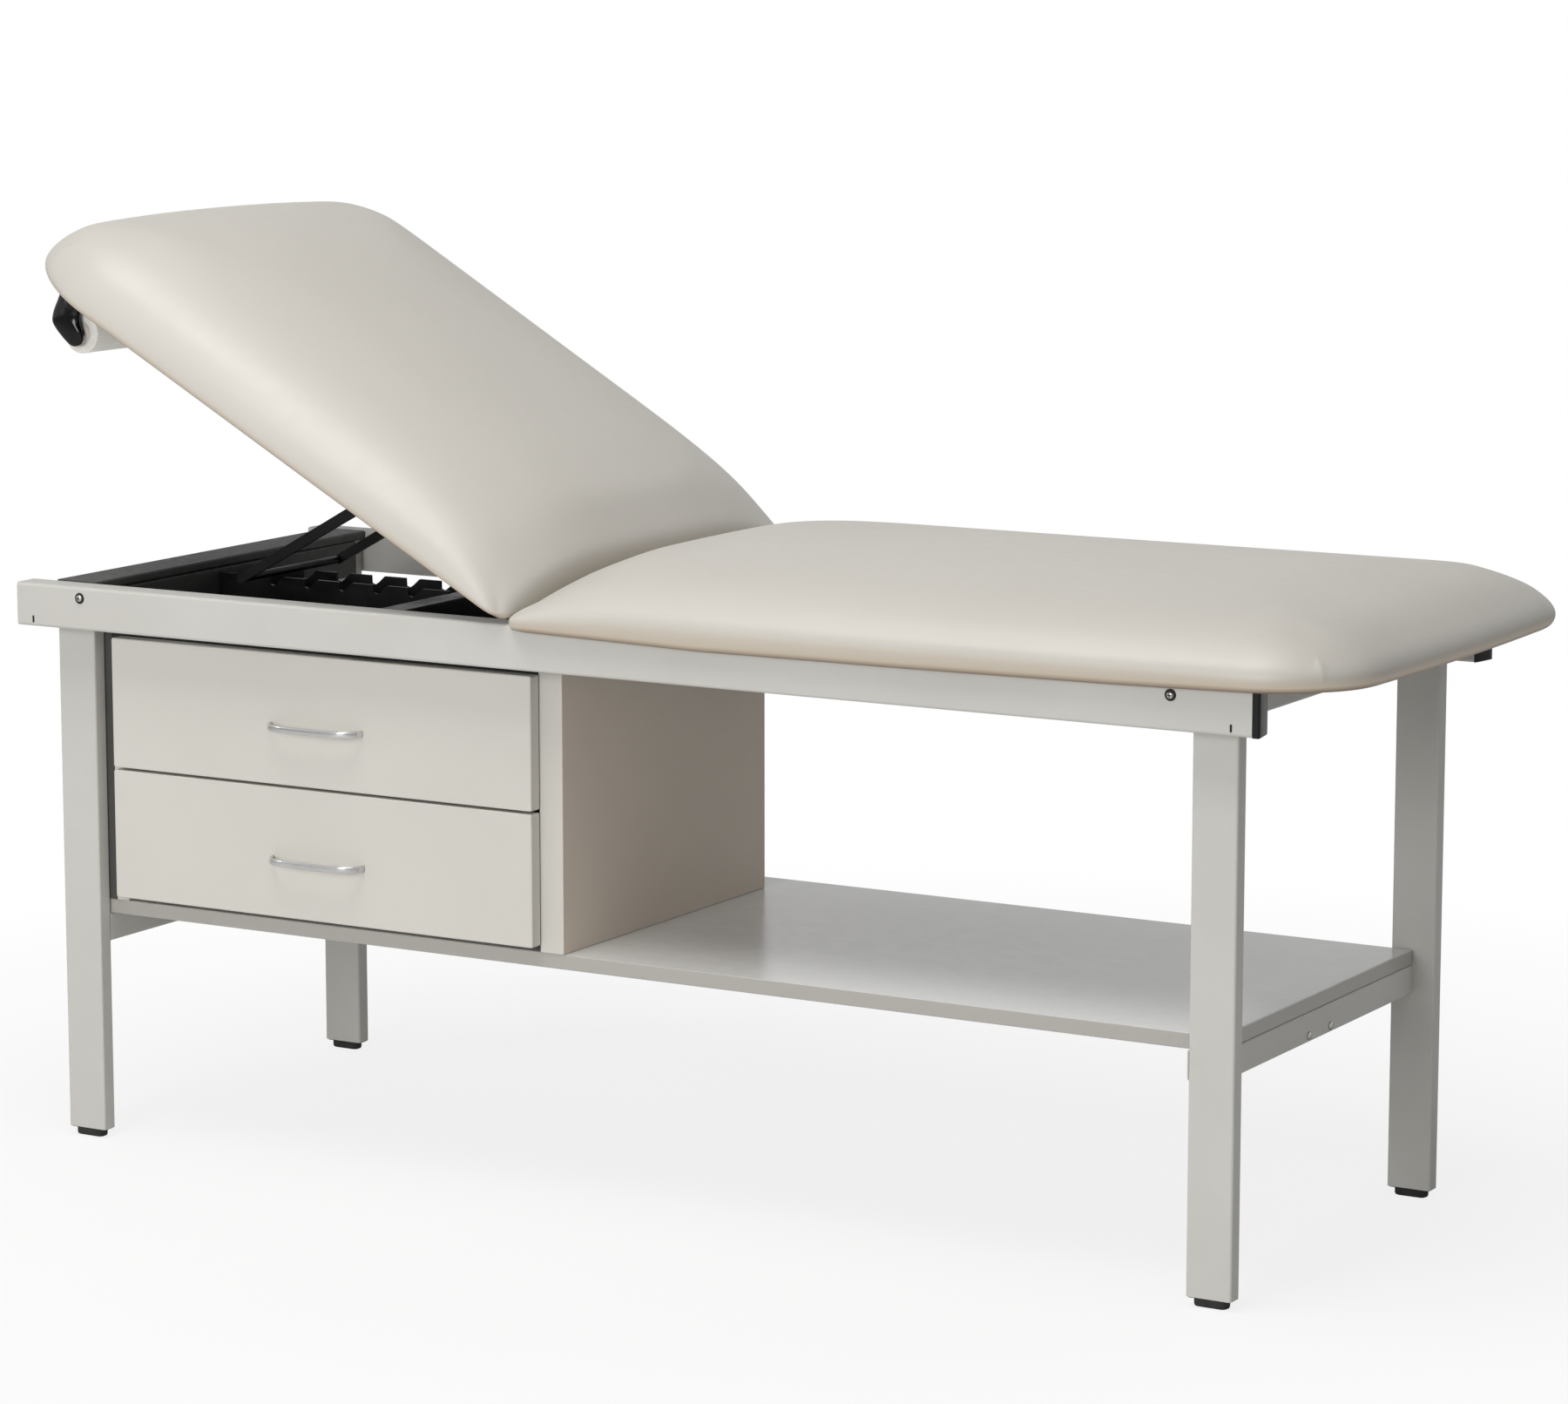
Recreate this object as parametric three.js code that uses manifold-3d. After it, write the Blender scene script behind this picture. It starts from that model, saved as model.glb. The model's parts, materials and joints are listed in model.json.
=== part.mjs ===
// Medical exam table: a steel-framed treatment couch with a ratchet backrest, two drawers and a shelf.
// Millimetres, +Z up. The origin is on the floor under the middle of the frame.
// +X runs to the foot end, -Y is the drawer side and the head is at -X.
import * as THREE from 'three';
import { mergeVertices } from 'three/addons/utils/BufferGeometryUtils.js';
import Module from 'manifold-3d';

const wasm = await Module();
wasm.setup();

// Driving dimensions -------------------------------------------------------------------------
const GAP = 0.3;

const RAIL = { halfLength: 845, top: 710, height: 54, width: 38, outerY: 330, wall: 2.5, corner: 4 };
RAIL.bottom = RAIL.top - RAIL.height;
RAIL.innerY = RAIL.outerY - RAIL.width;
const CAP = { thick: 12, lip: 1 };

const LEG = { outerX: 812, width: 56, depth: 22, bottom: 11, top: 699, wall: 2, corner: 3 };
LEG.outerY = RAIL.innerY - GAP;
LEG.innerY = LEG.outerY - LEG.depth;
LEG.innerX = LEG.outerX - LEG.width;
const FOOT = { length: 42, width: 18, taper: 3, plug: 18 };

const SPAN_Y = LEG.innerY - GAP;
const FOOT_TIE = { x0: 757, x1: 795, z0: 660, z1: 706 };
const HEAD_TIE = { x0: -795, x1: -751, z0: 652, z1: 699.5 };
const BUFFER = { x0: -812, x1: -751, z0: 700, z1: 711.4, corner: 3 };
const LOW_TIE = { footX: 784, headX: 796, width: 40, z0: 252, z1: 287.5 };
const MID_TIE = { x0: -394, x1: -356, z0: 656, z1: 692 };
const HINGE_TIE = { x0: -104, x1: -64, z0: 662, z1: 706 };

const SHELF = { x0: -760, x1: 784, y: 268, z0: 288, z1: 306 };
const CABINET = { x0: -745, x1: -79, y0: -270, y1: 205, z0: SHELF.z1 + GAP, z1: 648 };
const PANEL = { left: 18, right: 33, top: 16, back: 6 };
const FILLER = { behindLeg: 30, thick: 12 };
const FRONT = { x0: -731, x1: -110.5, thick: 19, bevel: 1.2, reveal: 1 };
const TOP_DRAWER = { z0: 480, z1: 643 };
const LOW_DRAWER = { z0: 314.5, z1: 476.5 };
const BOX = { side: 12, floor: 9, depth: 420, drop: 30, lift: 20 };
const RUNNER = { height: 36, depth: 400, slot: 13, fixed: 6.5, clearance: 0.6, low: 10 };
const PULL = { span: 128, rise: 24, bar: 8, thin: 4.5, drop: 8 };

const HINGE = { x: -118, z: 700 };
const REST_ANGLE = 29;
const TRAVEL_ANGLE = 60;
const CUSHION = { halfWidth: 352, thick: 60, seatEnd: 945, backLength: 807, hingeStart: -12 };
CUSHION.seatCorner = 95;
CUSHION.backCorner = 115;
const BOARD = { thick: 15, inset: 32, under: 12, setBack: 20, seatLift: 10.5 };
const KNUCKLE = { radius: 6, bore: 3.1, pin: 3, count: 6, pitch: 96, gap: 0.5, leaf: 48, plate: 3, start: 16 };

const PROP = { reach: 312, rod: 5, armY: 107, armThick: 5, armHeight: 12, bore: 4.1, pin: 4 };
const RACK = { x0: -750.5, x1: -394.5, halfWidth: 38, wall: 4, z0: 650, z1: 694.3, pitch: 53.5, depth: 12 };
RACK.slope = 15;
const BRACKET = { length: 44, plate: 3, offset: 8 };

const ROLL = { s: 742, t: -48, radius: 26, core: 12, halfLength: 236, bar: 9 };
const ROLL_BRACKET = { y0: 264, y1: 276, knobY: 255, knob: 11 };
const SCREW = { x: 747, z: 696, head: 6, high: 2.6 };

const ROUND = 24;

// Materials ----------------------------------------------------------------------------------
const paint = (color, roughness, metalness = 0) => new THREE.MeshStandardMaterial({ color, roughness, metalness });
const MAT = {
  frame: paint(0xcbc9c2, 0.45, 0.2),
  laminate: paint(0xd2cfc8, 0.5),
  shelf: paint(0xb9b8b3, 0.5),
  darkPanel: paint(0x2c2c2c, 0.6),
  vinyl: paint(0xc8c2b8, 0.45),
  board: paint(0x2a2725, 0.8),
  blackSteel: paint(0x141416, 0.4, 0.5),
  blackPlastic: paint(0x101012, 0.3),
  rubber: paint(0x18181a, 0.7),
  chrome: paint(0xe0e0de, 0.15, 1),
  zinc: paint(0xb8b8b4, 0.35, 0.9),
  drawerBox: paint(0xd8d4cc, 0.6),
  paper: paint(0xe9e7e2, 0.9),
};

// Solid helpers ------------------------------------------------------------------------------
function toSolid(geometry) {
  const bare = geometry.clone();
  bare.deleteAttribute('normal');
  bare.deleteAttribute('uv');
  const merged = mergeVertices(bare, 1e-4);
  const vertProperties = new Float32Array(merged.attributes.position.array);
  const triVerts = new Uint32Array(merged.index.array);
  return new wasm.Manifold(new wasm.Mesh({ numProp: 3, vertProperties, triVerts }));
}

function toGeometry(solid) {
  const mesh = solid.getMesh();
  const geometry = new THREE.BufferGeometry();
  geometry.setAttribute('position', new THREE.BufferAttribute(new Float32Array(mesh.vertProperties), 3));
  geometry.setIndex(new THREE.BufferAttribute(new Uint32Array(mesh.triVerts), 1));
  geometry.computeVertexNormals();
  return geometry;
}

const joined = (...parts) => toGeometry(parts.map(toSolid).reduce((a, b) => a.add(b)));

function cut(base, ...tools) {
  return toGeometry(tools.map(toSolid).reduce((a, b) => a.subtract(b), toSolid(base)));
}

function named(name, geometry, material) {
  const mesh = new THREE.Mesh(geometry, material);
  mesh.name = name;
  return mesh;
}

// A block given by its low and high corners.
function block(x0, y0, z0, x1, y1, z1) {
  const geometry = new THREE.BoxGeometry(x1 - x0, y1 - y0, z1 - z0);
  return geometry.translate((x0 + x1) / 2, (y0 + y1) / 2, (z0 + z1) / 2);
}

// A rectangle centred on the shape's origin, with round corners.
function roundedRect(target, width, height, radius) {
  const x = width / 2;
  const y = height / 2;
  target.moveTo(-x + radius, -y);
  target.lineTo(x - radius, -y);
  target.absarc(x - radius, -y + radius, radius, -Math.PI / 2, 0, false);
  target.lineTo(x, y - radius);
  target.absarc(x - radius, y - radius, radius, 0, Math.PI / 2, false);
  target.lineTo(-x + radius, y);
  target.absarc(-x + radius, y - radius, radius, Math.PI / 2, Math.PI, false);
  target.lineTo(-x, -y + radius);
  target.absarc(-x + radius, -y + radius, radius, Math.PI, Math.PI * 1.5, false);
  return target;
}

function extrude(shape, depth, options = {}) {
  return new THREE.ExtrudeGeometry(shape, { depth, bevelEnabled: false, curveSegments: 3, ...options });
}

// A rectangular tube along +Z from 0, or a solid bar where wall is 0.
function tube(width, height, length, corner, wall) {
  const shape = roundedRect(new THREE.Shape(), width, height, corner);
  if (wall > 0) {
    const inner = Math.max(corner - wall, 0.5);
    shape.holes.push(roundedRect(new THREE.Path(), width - 2 * wall, height - 2 * wall, inner));
  }
  return extrude(shape, length);
}

const alongX = (geometry) => geometry.rotateY(Math.PI / 2);
const alongY = (geometry) => geometry.rotateX(-Math.PI / 2);

// A tube across the table, centred on y = 0, filling the box from (x0, z0) to (x1, z1).
function crossTube(tie, halfY, wall) {
  const bar = tube(tie.x1 - tie.x0, tie.z1 - tie.z0, 2 * halfY, 3, wall);
  return alongY(bar).translate((tie.x0 + tie.x1) / 2, -halfY, (tie.z0 + tie.z1) / 2);
}

// A round bar along Y with its middle at (x, y, z).
function crossRod(radius, length, x, y, z, segments = ROUND) {
  return new THREE.CylinderGeometry(radius, radius, length, segments).translate(x, y, z);
}

// A panel with softened edges whose broad face looks along Y.
function frontPanel(x0, z0, x1, z1, yFace, thick, bevel) {
  const shape = roundedRect(new THREE.Shape(), x1 - x0 - 2 * bevel, z1 - z0 - 2 * bevel, 1.5);
  const panel = extrude(shape, thick - 2 * bevel, {
    bevelEnabled: true, bevelSize: bevel, bevelThickness: bevel, bevelSegments: 2,
  });
  return alongY(panel).translate((x0 + x1) / 2, yFace + bevel, (z0 + z1) / 2);
}

// Frame --------------------------------------------------------------------------------------
function railGeometry(side) {
  const length = 2 * RAIL.halfLength;
  const bar = alongX(tube(RAIL.height, RAIL.width, length, RAIL.corner, RAIL.wall));
  const y = side * (RAIL.outerY - RAIL.width / 2);
  return bar.translate(-RAIL.halfLength, y, RAIL.top - RAIL.height / 2);
}

function capGeometry(side) {
  const y = side * (RAIL.outerY - RAIL.width / 2);
  const z = RAIL.top - RAIL.height / 2;
  const face = alongX(tube(RAIL.height, RAIL.width, CAP.thick, RAIL.corner, 0));
  face.translate(RAIL.halfLength + GAP, y, z);
  const inset = 2 * (RAIL.wall + GAP);
  const plug = alongX(tube(RAIL.height - inset, RAIL.width - inset, 20, 1.5, 0));
  plug.translate(RAIL.halfLength - 15, y, z);
  return joined(face, plug);
}

function legGeometry(endX, side) {
  const bar = tube(LEG.width, LEG.depth, LEG.top - LEG.bottom, LEG.corner, LEG.wall);
  const x = endX * (LEG.outerX - LEG.width / 2);
  return bar.translate(x, side * (LEG.outerY - LEG.depth / 2), LEG.bottom);
}

function footGeometry(endX, side) {
  const x = endX * (LEG.outerX - LEG.width / 2);
  const y = side * (LEG.outerY - LEG.depth / 2);
  const shape = roundedRect(new THREE.Shape(), FOOT.length - 2 * FOOT.taper, FOOT.width - 2 * FOOT.taper, 5);
  const pad = extrude(shape, LEG.bottom - GAP - FOOT.taper, {
    bevelEnabled: true, bevelSize: FOOT.taper, bevelThickness: FOOT.taper, bevelSegments: 2,
  });
  pad.translate(x, y, FOOT.taper);
  const trim = block(x - 40, y - 40, LEG.bottom - GAP, x + 40, y + 40, LEG.bottom + 40);
  const fit = 2 * (LEG.wall + GAP);
  const plug = tube(LEG.width - fit, LEG.depth - fit, FOOT.plug + 1, 1, 0);
  plug.translate(x, y, LEG.bottom - GAP - 1);
  return joined(cut(pad, trim), plug);
}

function lowTie(end) {
  const outer = end > 0 ? LOW_TIE.footX : -LOW_TIE.headX;
  const inner = outer - end * LOW_TIE.width;
  return { x0: Math.min(outer, inner), x1: Math.max(outer, inner), z0: LOW_TIE.z0, z1: LOW_TIE.z1 };
}

// A black strip over the head tie that the lowered backrest comes down on.
function bufferGeometry() {
  const half = RAIL.innerY - GAP;
  const bar = tube(BUFFER.x1 - BUFFER.x0, BUFFER.z1 - BUFFER.z0, 2 * half, BUFFER.corner, 0);
  return alongY(bar).translate((BUFFER.x0 + BUFFER.x1) / 2, -half, (BUFFER.z0 + BUFFER.z1) / 2);
}

// The side view of the rack: a notch every pitch, steep on the head side and sloping to the foot.
function rackOutline() {
  const outline = new THREE.Shape();
  outline.moveTo(RACK.x0, RACK.z0);
  outline.lineTo(RACK.x1, RACK.z0);
  outline.lineTo(RACK.x1, RACK.z1);
  for (let notch = lastNotch(); notch > RACK.x0 + RACK.pitch / 2; notch -= RACK.pitch) {
    outline.lineTo(notch + RACK.slope, RACK.z1);
    outline.lineTo(notch + PROP.rod + 1, RACK.z1 - RACK.depth + 4);
    outline.lineTo(notch, RACK.z1 - RACK.depth);
    outline.lineTo(notch - PROP.rod - 1, RACK.z1 - RACK.depth + 2);
    outline.lineTo(notch - PROP.rod - 1.5, RACK.z1);
  }
  outline.lineTo(RACK.x0, RACK.z1);
  return outline;
}

// The rod's place for a backrest angle in degrees above level.
const rodX = (angle) => HINGE.x - 2 * PROP.reach * Math.cos(THREE.MathUtils.degToRad(angle));

// Notches are spaced from the one that holds the rod at rest.
function lastNotch() {
  const steps = Math.floor((RACK.x1 - 26 - rodX(REST_ANGLE)) / RACK.pitch);
  return rodX(REST_ANGLE) + steps * RACK.pitch;
}

function rackGeometry() {
  const wallAt = (y) => extrude(rackOutline(), RACK.wall).rotateX(Math.PI / 2).translate(0, y + RACK.wall, 0);
  const floor = block(RACK.x0, -RACK.halfWidth, RACK.z0, RACK.x1, RACK.halfWidth, RACK.z0 + RACK.wall);
  return joined(wallAt(-RACK.halfWidth), wallAt(RACK.halfWidth - RACK.wall), floor);
}

function screwGeometry(endX, side) {
  const outline = [
    new THREE.Vector2(0, 0),
    new THREE.Vector2(SCREW.head, 0),
    new THREE.Vector2(SCREW.head * 0.8, SCREW.high * 0.7),
    new THREE.Vector2(0, SCREW.high),
  ];
  const head = new THREE.LatheGeometry(outline, 16).rotateZ(side < 0 ? Math.PI : 0);
  return head.translate(endX * SCREW.x, side * (RAIL.outerY + GAP), SCREW.z);
}

function addFrame(root) {
  const ends = { head: -1, foot: 1 };
  const sides = { near: -1, far: 1 };
  for (const [sideName, side] of Object.entries(sides)) {
    root.add(named(`rail_${sideName}`, railGeometry(side), MAT.frame));
    root.add(named(`rail_cap_${sideName}`, capGeometry(side), MAT.blackPlastic));
    for (const [endName, end] of Object.entries(ends)) {
      const tag = `${endName}_${sideName}`;
      root.add(named(`leg_${tag}`, legGeometry(end, side), MAT.frame));
      root.add(named(`foot_glide_${tag}`, footGeometry(end, side), MAT.rubber));
      root.add(named(`rail_screw_${tag}`, screwGeometry(end, side), MAT.zinc));
    }
  }
  root.add(named('foot_end_tie', crossTube(FOOT_TIE, SPAN_Y, 2), MAT.frame));
  root.add(named('head_end_tie', crossTube(HEAD_TIE, SPAN_Y, 2), MAT.darkPanel));
  root.add(named('head_buffer', bufferGeometry(), MAT.darkPanel));
  root.add(named('lower_tie_head', crossTube(lowTie(-1), SPAN_Y, 2), MAT.frame));
  root.add(named('lower_tie_foot', crossTube(lowTie(1), SPAN_Y, 2), MAT.frame));
  root.add(named('rack_tie', crossTube(MID_TIE, RAIL.innerY - GAP, 2), MAT.blackSteel));
  root.add(named('hinge_tie', crossTube(HINGE_TIE, RAIL.innerY - GAP, 2), MAT.blackSteel));
  root.add(named('ratchet_rack', rackGeometry(), MAT.blackSteel));
}

// Cabinet and drawers ------------------------------------------------------------------------
const INSIDE = { x0: CABINET.x0 + PANEL.left, x1: CABINET.x1 - PANEL.right, y1: CABINET.y1 - PANEL.back };
const FRONT_FACE = CABINET.y0 - FRONT.reveal - FRONT.thick;

function addCabinet(root) {
  const { x0, x1, y0, y1, z0, z1 } = CABINET;
  const underTop = z1 - PANEL.top;
  root.add(named('lower_shelf', block(SHELF.x0, -SHELF.y, SHELF.z0, SHELF.x1, SHELF.y, SHELF.z1), MAT.shelf));
  root.add(named('cabinet_side_head', block(x0, y0, z0, INSIDE.x0, y1, underTop - GAP), MAT.laminate));
  root.add(named('cabinet_side_foot', block(INSIDE.x1, y0, z0, x1, y1, z1), MAT.laminate));
  const back = block(INSIDE.x0 + GAP, INSIDE.y1, z0, INSIDE.x1 - GAP, y1, underTop - GAP);
  root.add(named('cabinet_back', back, MAT.laminate));
  root.add(named('cabinet_top', block(x0, y0, underTop, INSIDE.x1 - GAP, y1, z1), MAT.darkPanel));
  const fillerFront = -LEG.innerY + GAP;
  const fillerHead = -LEG.innerX - FILLER.behindLeg;
  const filler = block(fillerHead, fillerFront, z0, x0 - GAP, fillerFront + FILLER.thick, z1);
  root.add(named('cabinet_filler', filler, MAT.darkPanel));
}

// An open-topped tray behind a drawer front.
function drawerBoxGeometry(drawer) {
  const x0 = INSIDE.x0 + RUNNER.slot;
  const x1 = INSIDE.x1 - RUNNER.slot;
  const y0 = CABINET.y0 - FRONT.reveal + GAP;
  const z0 = drawer.z0 + BOX.lift;
  const z1 = drawer.z1 - BOX.drop;
  const outer = block(x0, y0, z0, x1, y0 + BOX.depth, z1);
  const hollow = block(
    x0 + BOX.side, y0 + BOX.side, z0 + BOX.floor, x1 - BOX.side, y0 + BOX.depth - BOX.side, z1 + 5,
  );
  return cut(outer, hollow);
}

// A runner on the cabinet side, or the slide on the drawer box that runs against it.
function runnerGeometry(drawer, end, moving) {
  const wall = end < 0 ? INSIDE.x0 : INSIDE.x1;
  const zMid = (drawer.z0 + drawer.z1) / 2 - RUNNER.low;
  const near = moving ? RUNNER.fixed + RUNNER.clearance : GAP;
  const far = moving ? RUNNER.slot - GAP : RUNNER.fixed;
  const xa = wall - end * near;
  const xb = wall - end * far;
  const half = moving ? RUNNER.height / 2 - 5 : RUNNER.height / 2;
  const y0 = CABINET.y0 + 4;
  return block(Math.min(xa, xb), y0, zMid - half, Math.max(xa, xb), y0 + RUNNER.depth, zMid + half);
}

// A bow pull: two feet on the front and a flat bar arched between them.
function pullGeometry(drawer) {
  const x = (FRONT.x0 + FRONT.x1) / 2;
  const z = (drawer.z0 + drawer.z1) / 2 - PULL.drop;
  const face = FRONT_FACE - GAP;
  const half = PULL.span / 2;
  const arch = new THREE.CatmullRomCurve3([
    new THREE.Vector3(-half - 3, 0, 0),
    new THREE.Vector3(-half + 3, -PULL.rise * 0.6, 0),
    new THREE.Vector3(-half / 2, -PULL.rise * 0.95, 0),
    new THREE.Vector3(0, -PULL.rise, 0),
    new THREE.Vector3(half / 2, -PULL.rise * 0.95, 0),
    new THREE.Vector3(half - 3, -PULL.rise * 0.6, 0),
    new THREE.Vector3(half + 3, 0, 0),
  ]);
  const section = roundedRect(new THREE.Shape(), PULL.bar, PULL.thin, 2);
  const bar = new THREE.ExtrudeGeometry(section, { steps: 20, extrudePath: arch, curveSegments: 2 });
  const behind = block(-half - 40, 0, -30, half + 40, 30, 30);
  return cut(bar, behind).translate(x, face, z);
}

function addDrawer(group, tag, drawer) {
  const { x0, x1, thick, bevel } = FRONT;
  const front = frontPanel(x0, drawer.z0, x1, drawer.z1, FRONT_FACE, thick, bevel);
  group.add(named(`drawer_front_${tag}`, front, MAT.laminate));
  group.add(named(`drawer_box_${tag}`, drawerBoxGeometry(drawer), MAT.drawerBox));
  group.add(named(`drawer_pull_${tag}`, pullGeometry(drawer), MAT.chrome));
  for (const [endName, end] of Object.entries({ head: -1, foot: 1 })) {
    group.add(named(`runner_${tag}_${endName}`, runnerGeometry(drawer, end, false), MAT.zinc));
    group.add(named(`slide_${tag}_${endName}`, runnerGeometry(drawer, end, true), MAT.zinc));
  }
}

// Cushions and boards, drawn with the hinge axis at the origin and u running away from it --------
const slantPerHeight = 1 / Math.tan(THREE.MathUtils.degToRad(TRAVEL_ANGLE - 1));

// A plan outline from u0 to u1 with two round corners at u1.
function padOutline(u0, u1, halfWidth, corner) {
  const shape = new THREE.Shape();
  shape.moveTo(u0, -halfWidth);
  shape.lineTo(u1 - corner, -halfWidth);
  shape.absarc(u1 - corner, -halfWidth + corner, corner, -Math.PI / 2, 0, false);
  shape.lineTo(u1, halfWidth - corner);
  shape.absarc(u1 - corner, halfWidth - corner, corner, 0, Math.PI / 2, false);
  shape.lineTo(u0, halfWidth);
  return shape;
}

function boardGeometry(length, corner, under) {
  const half = CUSHION.halfWidth - BOARD.inset;
  const outline = padOutline(BOARD.setBack, length - BOARD.inset, half, corner - BOARD.inset);
  return extrude(outline, BOARD.thick, { curveSegments: 6 }).translate(0, 0, under);
}

// The cushion's section: how far in from the rim its skin lies at each height above the underside.
const CUSHION_SECTION = [
  [9, 0], [3, 2.5], [0, 10], [1, 19], [4, 27], [11, 36], [24, 45], [46, 53], [84, 58.5], [130, 60],
];

// A closed solid through level rings of equally many points, flat at the bottom and the top.
function stackedRings(rings) {
  const count = rings[0].length;
  const index = [];
  for (let k = 0; k < rings.length - 1; k += 1) {
    for (let i = 0; i < count; i += 1) {
      const low = k * count + i;
      const lowNext = k * count + (i + 1) % count;
      index.push(low, lowNext, lowNext + count, low, lowNext + count, low + count);
    }
  }
  const last = (rings.length - 1) * count;
  for (let i = 1; i < count - 1; i += 1) {
    index.push(0, i + 1, i);
    index.push(last, last + i, last + i + 1);
  }
  const geometry = new THREE.BufferGeometry();
  geometry.setAttribute('position', new THREE.Float32BufferAttribute(rings.flat(2), 3));
  geometry.setIndex(index);
  return geometry;
}

// A crowned pad with a soft rim, hollowed below for its board and slanted at the hinge end.
function cushionGeometry(length, corner, under) {
  const slab = stackedRings(CUSHION_SECTION.map(([inset, height]) => {
    const u0 = CUSHION.hingeStart + inset / 2;
    const round = Math.max(corner - inset, 4);
    const ring = padOutline(u0, length - inset, CUSHION.halfWidth - inset, round);
    return ring.getPoints(6).map((point) => [point.x, point.y, under + height]);
  }));
  const half = CUSHION.halfWidth - BOARD.inset + 1;
  const reach = length - BOARD.inset + 1;
  const pocketPlan = padOutline(-60, reach, half, corner - BOARD.inset + 1);
  const pocket = extrude(pocketPlan, BOARD.thick + 5 + 1, { curveSegments: 6 }).translate(0, 0, under - 5);
  const wedge = new THREE.Shape();
  const top = under + CUSHION.thick + 40;
  wedge.moveTo(-80, under - 20);
  wedge.lineTo((under - 20) * slantPerHeight, under - 20);
  wedge.lineTo(top * slantPerHeight, top);
  wedge.lineTo(-80, top);
  const width = 2 * CUSHION.halfWidth + 40;
  const slant = extrude(wedge, width).rotateX(Math.PI / 2).translate(0, width / 2, 0);
  return cut(slab, pocket, slant);
}

// One leaf of the long hinge. Its knuckles start at the given index and take every other place.
function leafGeometry(firstKnuckle, under) {
  const { radius, bore, count, pitch, gap, leaf, plate, start } = KNUCKLE;
  const top = under - GAP;
  const profile = new THREE.Shape();
  profile.moveTo(0, radius);
  profile.absarc(0, 0, radius, Math.PI / 2, Math.PI * 2, false);
  profile.lineTo(radius, top - plate);
  profile.lineTo(leaf, top - plate);
  profile.lineTo(leaf, top);
  profile.lineTo(0, top);
  profile.holes.push(new THREE.Path().absarc(0, 0, bore, 0, Math.PI * 2, true));
  const parts = [];
  for (let k = firstKnuckle; k < count; k += 2) {
    const knuckle = extrude(profile, pitch - gap, { curveSegments: 12 }).rotateX(Math.PI / 2);
    parts.push(knuckle.translate(0, -count * pitch / 2 + (k + 1) * pitch - gap / 2, 0));
  }
  const halfY = count * pitch / 2;
  parts.push(block(start, -halfY, top - plate, leaf, halfY, top));
  return joined(...parts);
}

// Turns a shape drawn with u running to the foot so that u runs to the head.
const toHead = (geometry) => geometry.rotateZ(Math.PI);

function addSeat(root) {
  const length = CUSHION.seatEnd - HINGE.x;
  const seat = new THREE.Group();
  seat.position.set(HINGE.x, 0, HINGE.z);
  seat.add(named('seat_board', boardGeometry(length, CUSHION.seatCorner, BOARD.seatLift), MAT.board));
  seat.add(named('seat_cushion', cushionGeometry(length, CUSHION.seatCorner, BOARD.seatLift + 0.5), MAT.vinyl));
  seat.add(named('hinge_leaf_seat', leafGeometry(0, BOARD.seatLift), MAT.zinc));
  const pinLength = KNUCKLE.count * KNUCKLE.pitch;
  seat.add(named('hinge_pin', crossRod(KNUCKLE.pin, pinLength, 0, 0, 0), MAT.zinc));
  root.add(seat);
}

// Backrest, drawn level with the hinge axis at the origin and its head end at -X ------------------
function propBracketGeometry(side) {
  const half = BRACKET.length / 2;
  const top = BOARD.under - GAP;
  const earIn = PROP.armY + PROP.armThick / 2 + 1;
  const earOut = earIn + BRACKET.plate;
  const ear = new THREE.Shape();
  ear.moveTo(-half, top);
  ear.lineTo(-BRACKET.offset, -BRACKET.offset);
  ear.lineTo(BRACKET.offset, -BRACKET.offset);
  ear.lineTo(half, top);
  ear.holes.push(new THREE.Path().absarc(0, 0, PROP.bore, 0, Math.PI * 2, true));
  const plate = extrude(ear, BRACKET.plate, { curveSegments: 12 }).rotateX(Math.PI / 2);
  plate.translate(0, earOut, 0);
  const base = block(-half, earIn, top - BRACKET.plate, half, earIn + 26, top);
  const bracket = joined(plate, base).translate(-PROP.reach, 0, 0);
  return side < 0 ? bracket.rotateZ(Math.PI).translate(-2 * PROP.reach, 0, 0) : bracket;
}

function propPinGeometry(side) {
  const inner = PROP.armY - PROP.armThick / 2 - 3;
  const outer = PROP.armY + PROP.armThick / 2 + BRACKET.plate + 4;
  const shaft = crossRod(PROP.pin, outer - inner, -PROP.reach, side * (inner + outer) / 2, 0);
  const head = crossRod(PROP.pin + 2.5, 2.5, -PROP.reach, side * (inner - 1.25), 0);
  return joined(shaft, head);
}

// The roll bracket's side view, as distances towards the head and up from the roll's bar.
const BRACKET_OUTLINE = [
  [12, 59.7], [11, 34], [4, 15], [-9, 3], [-13, -6], [-6, -15], [8, -17.5], [44, -10], [49, -3], [51, 18], [51, 59.7],
];

// A moulding that hangs below the board and holds one end of the roll bar.
function rollBracketGeometry(side) {
  const { y0, y1, knobY, knob } = ROLL_BRACKET;
  const plate = new THREE.Shape(BRACKET_OUTLINE.map(([u, w]) => new THREE.Vector2(-u, w + ROLL.t)));
  const sheet = extrude(plate, y1 - y0).rotateX(Math.PI / 2).translate(0, side > 0 ? y1 : -y0, 0);
  const boss = crossRod(knob, y0 + 1 - knobY, 0, side * (knobY + y0 + 1) / 2, ROLL.t);
  const holeEnd = y0 + 6;
  const hole = crossRod(ROLL.bar / 2 + 0.4, holeEnd - knobY + 2, 0, side * (holeEnd + knobY - 2) / 2, ROLL.t);
  return cut(joined(sheet, boss), hole).translate(-ROLL.s, 0, 0);
}

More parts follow.
